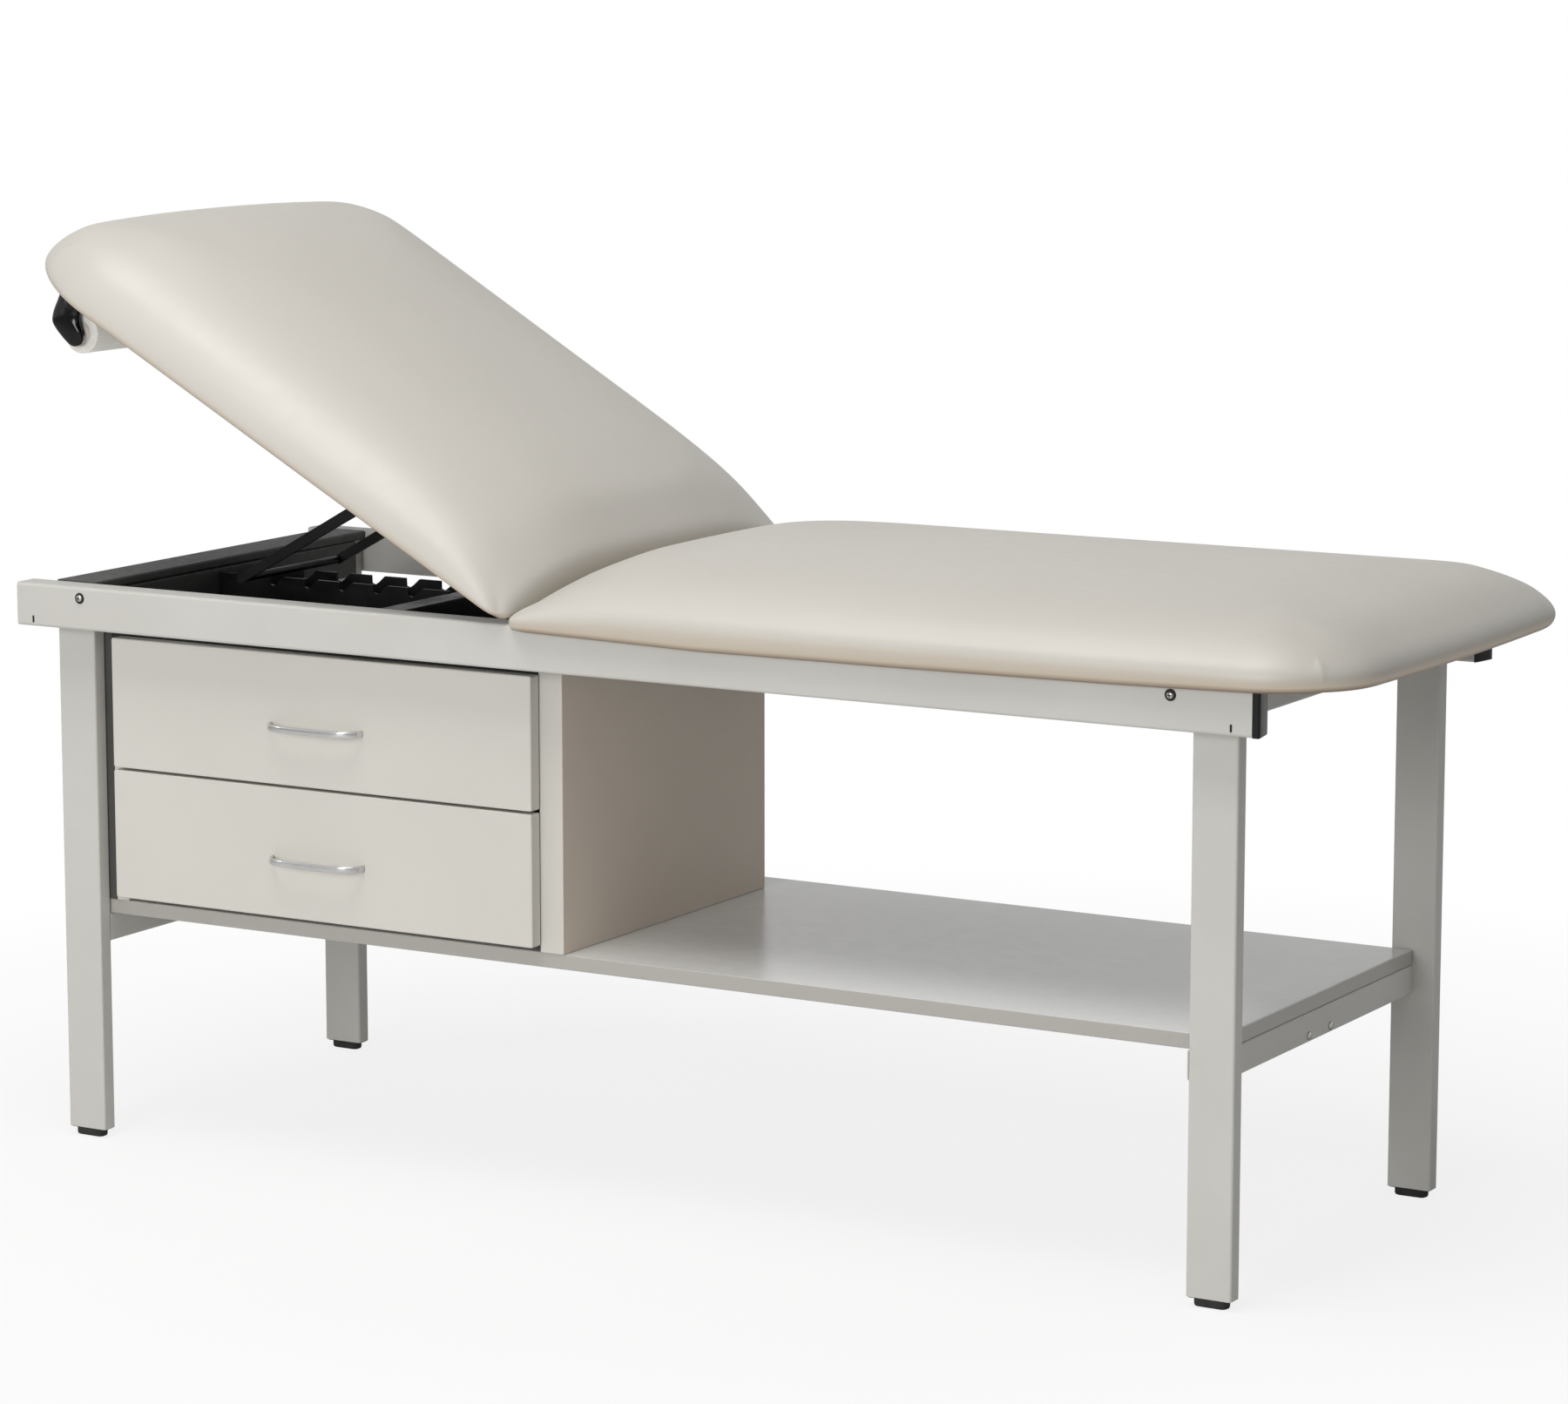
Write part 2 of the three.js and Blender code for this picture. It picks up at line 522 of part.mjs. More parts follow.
function paperRollGeometry() {
  const outline = [
    new THREE.Vector2(ROLL.core, -ROLL.halfLength),
    new THREE.Vector2(ROLL.radius, -ROLL.halfLength),
    new THREE.Vector2(ROLL.radius, ROLL.halfLength),
    new THREE.Vector2(ROLL.core, ROLL.halfLength),
    new THREE.Vector2(ROLL.core, -ROLL.halfLength),
  ];
  return new THREE.LatheGeometry(outline, 32).translate(-ROLL.s, 0, ROLL.t);
}

function rollBarGeometry() {
  const stub = crossRod(ROLL.bar / 2, 2 * (ROLL_BRACKET.y0 + 5), -ROLL.s, 0, ROLL.t);
  const sleeve = crossRod(ROLL.core - 0.5, 2 * (ROLL.halfLength - 4), -ROLL.s, 0, ROLL.t);
  return joined(stub, sleeve);
}

// A welded bail: two flat arms, joined at the free end by the rod that sits in the rack.
function propGeometry() {
  const armAt = (y) => {
    const arm = new THREE.Shape();
    const half = PROP.armHeight / 2;
    arm.absarc(0, 0, half + 1.5, -Math.PI / 2, Math.PI / 2, false);
    arm.lineTo(-PROP.reach, half);
    arm.absarc(-PROP.reach, 0, half, Math.PI / 2, Math.PI * 1.5, false);
    arm.holes.push(new THREE.Path().absarc(0, 0, PROP.bore, 0, Math.PI * 2, true));
    const bar = extrude(arm, PROP.armThick, { curveSegments: 10 }).rotateX(Math.PI / 2);
    return bar.translate(0, y + PROP.armThick / 2, 0);
  };
  const rodLength = 2 * PROP.armY + PROP.armThick - 1;
  return joined(armAt(-PROP.armY), armAt(PROP.armY), crossRod(PROP.rod, rodLength, -PROP.reach, 0, 0));
}

function addBackrest(root) {
  const tilt = THREE.MathUtils.degToRad(REST_ANGLE);
  const back = new THREE.Group();
  back.position.set(HINGE.x, 0, HINGE.z);
  back.rotation.y = tilt;
  const length = CUSHION.backLength;
  back.add(named('backrest_board', toHead(boardGeometry(length, CUSHION.backCorner, BOARD.under)), MAT.board));
  const pad = toHead(cushionGeometry(length, CUSHION.backCorner, BOARD.under + 0.5));
  back.add(named('backrest_cushion', pad, MAT.vinyl));
  back.add(named('hinge_leaf_backrest', toHead(leafGeometry(0, BOARD.under)), MAT.zinc));
  for (const [sideName, side] of Object.entries({ near: -1, far: 1 })) {
    back.add(named(`prop_bracket_${sideName}`, propBracketGeometry(side), MAT.blackSteel));
    back.add(named(`prop_pin_${sideName}`, propPinGeometry(side), MAT.zinc));
    back.add(named(`paper_bracket_${sideName}`, rollBracketGeometry(side), MAT.blackPlastic));
  }
  back.add(named('paper_roll', paperRollGeometry(), MAT.paper));
  back.add(named('paper_roll_bar', rollBarGeometry(), MAT.blackPlastic));
  const prop = new THREE.Group();
  prop.position.set(-PROP.reach, 0, 0);
  prop.rotation.y = -2 * tilt;
  prop.add(named('prop_bail', propGeometry(), MAT.blackSteel));
  back.add(prop);
  root.add(back);
}

// Assembly -----------------------------------------------------------------------------------
const table = new THREE.Group();
addFrame(table);
addCabinet(table);
addDrawer(table, 'top', TOP_DRAWER);
addDrawer(table, 'bottom', LOW_DRAWER);
addSeat(table);
addBackrest(table);

// The origin is on the floor under the middle of the whole table, pads included.
table.position.x = (RAIL.halfLength - CUSHION.seatEnd) / 2;
const part = new THREE.Group();
part.add(table);

export default part;
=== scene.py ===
"""Gives a medical exam table its looks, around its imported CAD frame. Metres, +Z up, foot end at +X."""

import json
import math

import bmesh
import bpy
import numpy as np
from mathutils import Matrix, Vector


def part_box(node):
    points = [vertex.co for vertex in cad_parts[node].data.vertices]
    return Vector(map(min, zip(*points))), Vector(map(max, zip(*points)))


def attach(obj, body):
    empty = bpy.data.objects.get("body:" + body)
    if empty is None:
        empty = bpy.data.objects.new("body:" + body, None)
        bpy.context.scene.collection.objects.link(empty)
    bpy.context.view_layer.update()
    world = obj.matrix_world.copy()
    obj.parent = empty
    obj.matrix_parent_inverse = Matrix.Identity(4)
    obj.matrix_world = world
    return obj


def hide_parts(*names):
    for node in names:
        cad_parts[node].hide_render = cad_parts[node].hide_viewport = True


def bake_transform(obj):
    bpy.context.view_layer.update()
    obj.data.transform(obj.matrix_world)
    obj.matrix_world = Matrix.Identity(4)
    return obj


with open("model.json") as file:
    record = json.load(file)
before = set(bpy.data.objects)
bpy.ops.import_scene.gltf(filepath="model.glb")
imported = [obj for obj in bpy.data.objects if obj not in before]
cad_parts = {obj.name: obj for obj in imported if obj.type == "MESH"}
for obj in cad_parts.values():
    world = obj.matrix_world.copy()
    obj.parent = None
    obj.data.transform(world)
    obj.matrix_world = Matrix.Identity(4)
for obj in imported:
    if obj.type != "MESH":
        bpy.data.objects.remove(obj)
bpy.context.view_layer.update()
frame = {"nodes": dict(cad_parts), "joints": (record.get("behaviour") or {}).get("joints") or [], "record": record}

# Driving values --------------------------------------------------
JOINTS = {joint["name"]: joint for joint in frame["joints"]}
HINGE = Vector(JOINTS["backrest_hinge"]["pos_m"])
ROLL_AXIS = Vector(JOINTS["paper_roll_spin"]["pos_m"])
TILT = math.radians(-JOINTS["backrest_hinge"]["range_deg"][0])    # rise of the backrest from flat to rest
CREASE_LEAN = math.tan(TILT / 2)                                  # lean of the plane between the pads
SIDES = (("near", -1), ("far", 1))

# Local frames of the two pads: u runs away from the hinge, v across, w up from the hinge axis.
SEAT_FRAME = Matrix.Translation(HINGE)
BACK_FRAME = Matrix.Translation(HINGE) @ Matrix.Rotation(TILT, 4, "Y") @ Matrix.Scale(-1, 4, (1, 0, 0))

# A pad's grid: even steps over the top, and closer lines where the vinyl turns over an edge.
PAD_STEP = 0.013
RIM_LINES = (0, 0.0018, 0.0052, 0.0100, 0.0152, 0.0196, 0.0232, 0.0300, 0.0405)
HINGE_LINES = (0, 0.0008, 0.0026, 0.0055, 0.0095, 0.0150, 0.0240)

# Distances from a pad's rim.
SHOULDER_RUN = 0.23       # the top's crown rises over this distance
SIDE_RUN = 0.060          # the more upright part of the side turns in over this one
RIM_TURN = 0.014          # the rim turns under over this one
RIM_WIDTH = 0.0205        # the part of the rim that hangs outside the rails
CROWN_ROUND = 2.2         # 2 gives the crown a circular shoulder, more a fuller one
BOW_FADE = 5              # more keeps the far edge's bow closer to that edge

# Distances from the hinge.
PINCH_RUN = 0.20          # the pinched end fills out over this distance at a pad's sides
PINCH_GAIN = 0.07         # and this much sooner in the middle
PINCH_INNER = 0.16        # distance from the rim where that gain is complete
PINCH_ROUND = 3           # more makes it fill out sooner
END_TURN = 0.012          # the top turns down at the hinge over this distance
END_UNDERTURN = 0.008     # and the underside turns up over this one
WAIST_RUN = 0.15          # the rim line changes its height over this one
LEAN_RUN = 0.12           # the lean of the hinge end fades over this one
HINGE_CORNER = 0.030      # plan radius of the corners at the hinge

# Height that a pad keeps at the hinge line, as a share of its full height.
CREASE_AT_RIM = 0.13
CREASE_GAIN = 0.57        # added towards the middle
CREASE_RUN = 0.085        # distance from the rim over which most of the gain is made

CREASE_GAP = 0.0004       # room on each side of the plane between the pads
RELIEF_LEAN = 0.52        # lean of the seat's hinge end where the backrest board swings past
BOARD_ROOM = {"above": 0.0006, "beside": 0.0008, "at the hinge": 0.001}

# Shapes of the two pads, in the words of class Pad.
SEAT_SHAPE = {
    "far_corner": 0.110, "reach": 0.010, "bow": 0.012,
    "waist": (0.007, 0.015), "droop": (0.007, 0.0125, 0.011, 0.008, 0.002),
    "lift": (0.004, 0.006), "dome": (0.010, 0.014), "square": 0.50, "relief": 0.0175,
}
BACK_SHAPE = {
    "far_corner": 0.115, "reach": 0.014, "bow": 0.022,
    "waist": (0.007, 0.009), "droop": (0.001, 0.001),
    "lift": (0.018, 0.046), "dome": (0.012, 0.012), "square": 0.30, "relief": 0,
}

SIM_FRAMES = 20
SIM_CAP = 0.006           # most that a point may move
SIM_CALM = 60             # rounds of averaging that leave the swell and drop the wrinkles

ROLL_EXTRA = 0.025        # how much further the paper reaches at each end than its CAD tube
FLOOR_FADE = (0.8, 2.0)   # distances from the middle between which the floor fades to white
FLOOR_GLOW = (0.82, 1.0)  # share of plain white in the floor, at those distances
BACKDROP_GLOSS = 0.60     # how white the backdrop looks in reflections, 0 to 1
WORLD_LIGHT = 0.34        # strength of the even white light from all round


def srgb(red, green, blue):
    """A colour given as 0 to 255 display values, as linear RGBA."""
    def linear(value):
        value /= 255
        return value / 12.92 if value <= 0.04045 else ((value + 0.055) / 1.055) ** 2.4
    return (linear(red), linear(green), linear(blue), 1.0)


def grey(value):
    return (value, value, value, 1.0)


# Materials --------------------------------------------------
class Finish:
    """A node material with helpers for layered noise, colour variation and bump."""

    def __init__(self, name):
        self.material = bpy.data.materials.new(name)
        self.material.use_nodes = True
        self.tree = self.material.node_tree
        self.tree.nodes.clear()
        self.output = self.tree.nodes.new("ShaderNodeOutputMaterial")
        self.surface = self.tree.nodes.new("ShaderNodeBsdfPrincipled")
        self.tree.links.new(self.surface.outputs["BSDF"], self.output.inputs["Surface"])
        self.coordinates = self.tree.nodes.new("ShaderNodeTexCoord")
        self.place = self.coordinates.outputs["Object"]
        self.normal = None

    def stretched(self, scale):
        """Object coordinates scaled by a vector, for grain that runs one way."""
        mapping = self.tree.nodes.new("ShaderNodeMapping")
        mapping.inputs["Scale"].default_value = scale
        self.tree.links.new(self.place, mapping.inputs["Vector"])
        return mapping.outputs["Vector"]

    def facing(self, axis):
        """How squarely a surface looks along one of the object's own axes, -1 to 1."""
        parts = self.tree.nodes.new("ShaderNodeSeparateXYZ")
        self.tree.links.new(self.coordinates.outputs["Normal"], parts.inputs["Vector"])
        return parts.outputs[axis]

    def noise(self, scale, detail=3.0, roughness=0.5, place=None):
        node = self.tree.nodes.new("ShaderNodeTexNoise")
        node.inputs["Scale"].default_value = scale
        node.inputs["Detail"].default_value = detail
        node.inputs["Roughness"].default_value = roughness
        self.tree.links.new(place or self.place, node.inputs["Vector"])
        return node.outputs["Fac"]

    def cells(self, scale):
        """Distance to the nearest of many scattered points, for pebbled grain."""
        node = self.tree.nodes.new("ShaderNodeTexVoronoi")
        node.feature = "F1"
        node.inputs["Scale"].default_value = scale
        self.tree.links.new(self.place, node.inputs["Vector"])
        return node.outputs["Distance"]

    def ramp(self, value, *stops):
        """Colours between (value, colour) stops."""
        node = self.tree.nodes.new("ShaderNodeValToRGB")
        elements = node.color_ramp.elements
        while len(elements) < len(stops):
            elements.new(0.5)
        for element, (position, colour) in zip(elements, stops):
            element.position = position
            element.color = colour
        self.tree.links.new(value, node.inputs["Fac"])
        return node.outputs["Color"]

    def remap(self, value, low, high, source=(0.3, 0.7)):
        """Stretches a range of values, by default the middle of a noise, onto low to high."""
        node = self.tree.nodes.new("ShaderNodeMapRange")
        node.inputs["From Min"].default_value = source[0]
        node.inputs["From Max"].default_value = source[1]
        node.inputs["To Min"].default_value = low
        node.inputs["To Max"].default_value = high
        self.tree.links.new(value, node.inputs["Value"])
        return node.outputs["Result"]

    def mix(self, factor, first, second):
        node = self.tree.nodes.new("ShaderNodeMix")
        node.data_type = "RGBA"
        self.connect(factor, node.inputs["Factor"])
        self.connect(first, node.inputs["A"])
        self.connect(second, node.inputs["B"])
        return node.outputs["Result"]

    def connect(self, source, target):
        if isinstance(source, bpy.types.NodeSocket):
            self.tree.links.new(source, target)
        else:
            target.default_value = source

    def bump(self, height, distance, strength=1.0):
        node = self.tree.nodes.new("ShaderNodeBump")
        node.inputs["Distance"].default_value = distance
        node.inputs["Strength"].default_value = strength
        self.tree.links.new(height, node.inputs["Height"])
        if self.normal is not None:
            self.tree.links.new(self.normal, node.inputs["Normal"])
        self.normal = node.outputs["Normal"]
        self.tree.links.new(self.normal, self.surface.inputs["Normal"])

    def set(self, **values):
        """Sets inputs of the surface by name, with _ for a space."""
        for key, value in values.items():
            self.connect(value, self.surface.inputs[key.replace("_", " ")])


def upholstery_vinyl():
    """Soft satin vinyl: fine pebble grain and faint mottling, with painted warm bounce light on its sides and a
    painted brown shadow where it turns under.
    """
    finish = Finish("upholstery_vinyl")
    base = finish.ramp(finish.noise(3.0), (0.3, srgb(186, 183, 176)), (0.7, srgb(190, 187, 180)))
    pebbles = finish.cells(900.0)
    grained = finish.mix(finish.remap(pebbles, 0.0, 0.10, (0.0, 0.55)), base, srgb(178, 170, 160))
    upward = finish.facing("Z")
    # Painted warm bounce light: faces that look less up are mixed towards a warm tan.
    side = finish.remap(upward, 0.6, 0.0, (-0.6, 0.3))
    # Painted shadow: faces that look down are mixed towards a dark brown, the shade where the rim turns under.
    painted_shadow_under = finish.remap(upward, 1.0, 0.0, (-0.95, -0.45))
    turned = finish.mix(side, grained, srgb(214, 194, 166))
    finish.set(Base_Color=finish.mix(painted_shadow_under, turned, srgb(122, 98, 74)))
    finish.set(Roughness=finish.remap(finish.noise(60.0), 0.42, 0.48), Specular_IOR_Level=0.6)
    finish.set(Sheen_Weight=0.05, Sheen_Roughness=0.5)
    finish.bump(pebbles, 0.00012, 0.5)
    finish.bump(finish.noise(220.0, 5.0, 0.6), 0.0002, 0.3)
    finish.bump(finish.noise(9.0, 2.0, 0.4), 0.003, 0.12)
    return finish.material


def powder_coat():
    """Satin light grey powder coat with a faint orange peel and a few rubbed marks."""
    finish = Finish("powder_coat_grey")
    cloud = finish.noise(3.0, 5.0, 0.6)
    base = finish.ramp(cloud, (0.3, srgb(195, 193, 187)), (0.7, srgb(202, 201, 196)))
    scuffs = finish.noise(30.0, 8.0, 0.75, finish.stretched((0.4, 1.0, 1.0)))
    worn = finish.ramp(scuffs, (0.62, grey(0.0)), (0.78, grey(0.35)))
    finish.set(Base_Color=finish.mix(worn, base, srgb(184, 181, 174)))
    finish.set(Roughness=finish.remap(finish.noise(80.0, 2.0), 0.34, 0.46), Specular_IOR_Level=0.3)
    finish.bump(finish.noise(420.0, 2.0, 0.4), 0.00025, 0.4)
    finish.bump(finish.noise(1400.0, 2.0, 0.4), 0.00006, 0.35)
    return finish.material


def shelf_board():
    """Glossy pale laminate whose top is painted far paler than its thin edge strips: painted light on the top,
    painted shade on the edges.
    """
    finish = Finish("shelf_laminate")
    cloud = finish.noise(2.2, 4.0, 0.55)
    # Painted light: the top's colour is far paler than the laminate, standing in for light and sheen on the shaded
    # shelf.
    face = finish.ramp(cloud, (0.3, srgb(240, 240, 238)), (0.7, srgb(246, 246, 244)))
    upward = finish.remap(finish.facing("Z"), 0.0, 1.0, (0.5, 0.9))
    # Faces that look up take the painted light, and the edge strips take a painted shade.
    finish.set(Base_Color=finish.mix(upward, srgb(172, 169, 163), face))
    finish.set(Roughness=finish.remap(finish.noise(45.0, 4.0), 0.18, 0.26), Specular_IOR_Level=0.8)
    finish.bump(finish.noise(1100.0), 0.00004, 0.4)
    return finish.material


def laminate(name, side=None):
    """Satin laminate board with a fine suede-like texture, with painted warm bounce light where it looks along +X
    if asked.
    """
    finish = Finish(name)
    cloud = finish.noise(2.2, 4.0, 0.55)
    base = finish.ramp(cloud, (0.3, srgb(205, 202, 195)), (0.7, srgb(211, 208, 201)))
    if side:
        # Painted warm bounce light on faces that look along +X.
        base = finish.mix(finish.remap(finish.facing("X"), 0.0, 1.0, (0.5, 0.9)), base, side)
    fleck = finish.remap(finish.noise(900.0, 2.0, 0.6), 0.0, 0.10, (0.45, 0.75))
    finish.set(Base_Color=finish.mix(fleck, base, srgb(170, 164, 154)))
    finish.set(Roughness=finish.remap(finish.noise(45.0, 4.0), 0.40, 0.52), Specular_IOR_Level=0.45)
    finish.bump(finish.noise(1100.0), 0.00005, 0.5)
    finish.bump(finish.noise(9.0, 2.0), 0.0006, 0.12)
    return finish.material


def black_enamel():
    """Semi-gloss black paint on steel, dusty in places and rubbed grey along scratches."""
    finish = Finish("black_enamel")
    dust = finish.noise(18.0, 6.0, 0.65)
    base = finish.ramp(dust, (0.45, srgb(6, 6, 7)), (0.8, srgb(15, 15, 15)))
    scratch = finish.noise(60.0, 6.0, 0.7, finish.stretched((0.15, 2.0, 2.0)))
    worn = finish.ramp(scratch, (0.66, grey(0.0)), (0.8, grey(0.4)))
    finish.set(Base_Color=finish.mix(worn, base, srgb(58, 58, 58)))
    finish.set(Roughness=finish.remap(dust, 0.32, 0.55), Specular_IOR_Level=0.25)
    finish.bump(finish.noise(500.0, 2.0), 0.0002, 0.35)
    return finish.material


def black_moulding():
    """Glossy black moulded plastic."""
    finish = Finish("black_moulding")
    finish.set(Base_Color=finish.ramp(finish.noise(40.0), (0.3, srgb(7, 7, 8)), (0.7, srgb(13, 13, 14))))
    finish.set(Roughness=finish.remap(finish.noise(120.0), 0.08, 0.14))
    finish.set(Specular_IOR_Level=0.25, Coat_Weight=0.15)
    finish.bump(finish.noise(260.0, 2.0), 0.0001, 0.25)
    return finish.material


def black_rubber():
    """Matt black rubber with a dusty surface."""
    finish = Finish("black_rubber")
    dust = finish.noise(70.0, 5.0)
    finish.set(Base_Color=finish.ramp(dust, (0.3, srgb(20, 20, 21)), (0.75, srgb(44, 43, 42))))
    finish.set(Roughness=finish.remap(finish.noise(150.0), 0.6, 0.8))
    finish.bump(finish.noise(700.0), 0.0002, 0.5)
    return finish.material


def dark_board(name, low, high):
    """Dark matt board, as used inside the frame."""
    finish = Finish(name)
    finish.set(Base_Color=finish.ramp(finish.noise(7.0, 5.0), (0.3, low), (0.7, high)))
    finish.set(Roughness=finish.remap(finish.noise(90.0), 0.55, 0.7))
    finish.bump(finish.noise(900.0), 0.0001, 0.5)
    return finish.material


def dust_cover():
    """Black non-woven cloth stapled under the padded boards."""
    finish = Finish("dust_cover_cloth")
    fibres = finish.noise(600.0, 6.0, 0.7)
    finish.set(Base_Color=finish.ramp(fibres, (0.3, srgb(22, 21, 20)), (0.7, srgb(46, 44, 42))))
    finish.set(Roughness=0.92, Sheen_Weight=0.2)
    finish.bump(fibres, 0.0004, 0.7)
    return finish.material


def chrome():
    """Polished chrome with a trace of smearing."""
    finish = Finish("chrome_bright")
    smear = finish.noise(25.0)
    finish.set(Base_Color=finish.ramp(smear, (0.3, srgb(205, 205, 204)), (0.7, srgb(222, 222, 221))))
    finish.set(Metallic=1.0, Roughness=finish.remap(finish.noise(90.0, 4.0), 0.14, 0.22))
    finish.bump(finish.noise(30.0, 2.0), 0.0003, 0.08)
    return finish.material


def zinc_plate():
    """Bright zinc on pressed steel, cloudy and lightly brushed."""
    finish = Finish("zinc_plate")
    cloud = finish.noise(60.0, 5.0, 0.6)
    finish.set(Base_Color=finish.ramp(cloud, (0.3, srgb(172, 172, 168)), (0.7, srgb(206, 206, 202))))
    finish.set(Metallic=1.0, Roughness=finish.remap(cloud, 0.26, 0.42))
    finish.bump(finish.noise(300.0, place=finish.stretched((1.0, 0.1, 1.0))), 0.0002, 0.3)
    return finish.material


def drawer_board():
    """Foil-wrapped board for the drawer boxes, with a faint printed grain."""
    finish = Finish("drawer_box_foil")
    grain = finish.noise(30.0, 5.0, 0.6, finish.stretched((0.6, 4.0, 8.0)))
    finish.set(Base_Color=finish.ramp(grain, (0.3, srgb(206, 200, 190)), (0.7, srgb(218, 213, 204))))
    finish.set(Roughness=0.5)
    finish.bump(grain, 0.0001, 0.4)
    return finish.material


def exam_paper():
    """Crepe exam paper: matt white with fine crinkles round the roll."""
    finish = Finish("exam_paper")
    layers = finish.noise(260.0, 4.0, 0.6, finish.stretched((1.0, 0.08, 1.0)))
    finish.set(Base_Color=finish.ramp(layers, (0.3, srgb(232, 229, 221)), (0.7, srgb(242, 239, 232))))
    finish.set(Roughness=0.9, Subsurface_Weight=0.05)
    finish.bump(layers, 0.0004, 0.5)
    return finish.material


def card_core():
    """Grey-brown card tube inside the paper roll."""
    finish = Finish("card_core")
    fibres = finish.noise(300.0, 4.0)
    finish.set(Base_Color=finish.ramp(fibres, (0.3, srgb(150, 128, 100)), (0.7, srgb(176, 152, 122))))
    finish.set(Roughness=0.85)
    return finish.material


def dark_recess():
    """The unlit inside of a hole or screw slot."""
    finish = Finish("dark_recess")
    # Painted shade, mottled a little from dark to darker.
    shade_mottle = finish.noise(200.0)
    finish.set(Base_Color=finish.ramp(shade_mottle, (0.3, srgb(18, 17, 16)), (0.7, srgb(34, 31, 28))))
    finish.set(Roughness=0.8)
    return finish.material


def studio_floor():
    """Pale seamless floor that fades into the white backdrop away from the table."""
    finish = Finish("studio_floor")
    finish.set(Base_Color=finish.ramp(finish.noise(1.5), (0.3, grey(0.74)), (0.7, grey(0.77))))
    finish.set(Roughness=0.9, Specular_IOR_Level=0.1)
    nodes, links = finish.tree.nodes, finish.tree.links
    reach = nodes.new("ShaderNodeVectorMath")
    reach.operation = "LENGTH"
    links.new(nodes.new("ShaderNodeNewGeometry").outputs["Position"], reach.inputs[0])
    fade = finish.remap(reach.outputs["Value"], *FLOOR_GLOW, FLOOR_FADE)
    seen = nodes.new("ShaderNodeMath")
    seen.operation = "MULTIPLY"
    links.new(fade, seen.inputs[0])
    links.new(nodes.new("ShaderNodeLightPath").outputs["Is Camera Ray"], seen.inputs[1])
    blend = nodes.new("ShaderNodeMixShader")
    glow = nodes.new("ShaderNodeEmission")
    links.new(seen.outputs["Value"], blend.inputs["Fac"])
    links.new(finish.surface.outputs["BSDF"], blend.inputs[1])
    links.new(glow.outputs["Emission"], blend.inputs[2])
    links.new(blend.outputs["Shader"], finish.output.inputs["Surface"])
    return finish.material


# Keyed by the material slots of the CAD nodes, apart from those that OWN_FINISH gives.
MATERIALS = {
    "frame_paint": powder_coat(),
    "black_paint": black_enamel(),
    "laminate": laminate("laminate_grey"),
    "shelf_laminate": shelf_board(),
    # The cabinet sides: laminate with painted warm bounce light on their +X faces.
    "cabinet_laminate": laminate("laminate_painted_bounce", srgb(219, 206, 191)),
    "dark_panel": dark_board("dark_board", srgb(66, 66, 65), srgb(78, 78, 77)),
    # A black board as painted shade, for the cabinet top that lies in shade.
    "painted_shade_panel": dark_board("painted_shade_board", srgb(24, 24, 24), srgb(32, 32, 32)),
    "vinyl": upholstery_vinyl(),
    "board": dust_cover(),
    "black_plastic": black_moulding(),
    "rubber": black_rubber(),
    "chrome": chrome(),
    "zinc": zinc_plate(),
    "drawer_box": drawer_board(),
    "paper": exam_paper(),
}
CARD = card_core()
RECESS = dark_recess()


# Mesh helpers --------------------------------------------------
def make_object(name, vertices, faces, material, smooth=True):
    mesh = bpy.data.meshes.new(name)
    mesh.from_pydata([tuple(v) for v in vertices], [], [tuple(f) for f in faces])
    mesh.update()
    mesh.polygons.foreach_set("use_smooth", [smooth] * len(mesh.polygons))
    mesh.materials.append(material)
    piece = bpy.data.objects.new(name, mesh)
    bpy.context.scene.collection.objects.link(piece)
    return piece


def face_outward(piece):
    """Points every face of a closed mesh outward."""
    shell = bmesh.new()
    shell.from_mesh(piece.data)
    bmesh.ops.recalc_face_normals(shell, faces=shell.faces)
    if shell.calc_volume(signed=True) < 0:
        bmesh.ops.reverse_faces(shell, faces=shell.faces)
    shell.to_mesh(piece.data)
    shell.free()
    piece.data.update()


def apply_modifiers(piece):
    """Bakes a piece's modifiers into its mesh."""
    bpy.context.view_layer.update()
    graph = bpy.context.evaluated_depsgraph_get()
    baked = bpy.data.meshes.new_from_object(piece.evaluated_get(graph))
    piece.modifiers.clear()
    piece.data = baked


def round_edges(piece, width, segments, angle):
    """Adds a bevel on the edges that are sharper than an angle in degrees."""
    bevel = piece.modifiers.new("bevel", "BEVEL")
    bevel.width = width
    bevel.segments = segments
    bevel.limit_method = "ANGLE"
    bevel.angle_limit = math.radians(angle)
    bevel.harden_normals = True


def skin(name, rings, material, closed=False, smooth=True):
    """A body through equal rings of points: the last ring joins the first, or both ends are capped."""
    count = len(rings)
    size = len(rings[0])
    faces = []
    for i in range(count if closed else count - 1):
        here = i * size
        ahead = (i + 1) % count * size
        for k in range(size):
            n = (k + 1) % size
            faces.append((here + k, here + n, ahead + n, ahead + k))
    if not closed:
        faces += [tuple(range(size)), tuple(range((count - 1) * size, count * size))]
    piece = make_object(name, [point for ring in rings for point in ring], faces, material, smooth)
    face_outward(piece)
    return piece


def prism(name, outline, height, material, smooth=True):
    """A closed prism that stands on local Z = 0."""
    rings = [[(x, y, z) for x, y in outline] for z in (0, height)]
    return skin(name, rings, material, smooth=smooth)


def ring_body(name, profile, material, steps):
    """A closed tube turned about local Z from a closed loop of (radius, height) points."""
    rings = []
    for k in range(steps):
        turn = 2 * math.pi * k / steps
        rings.append([(r * math.cos(turn), r * math.sin(turn), h) for r, h in profile])
    return skin(name, rings, material, closed=True)


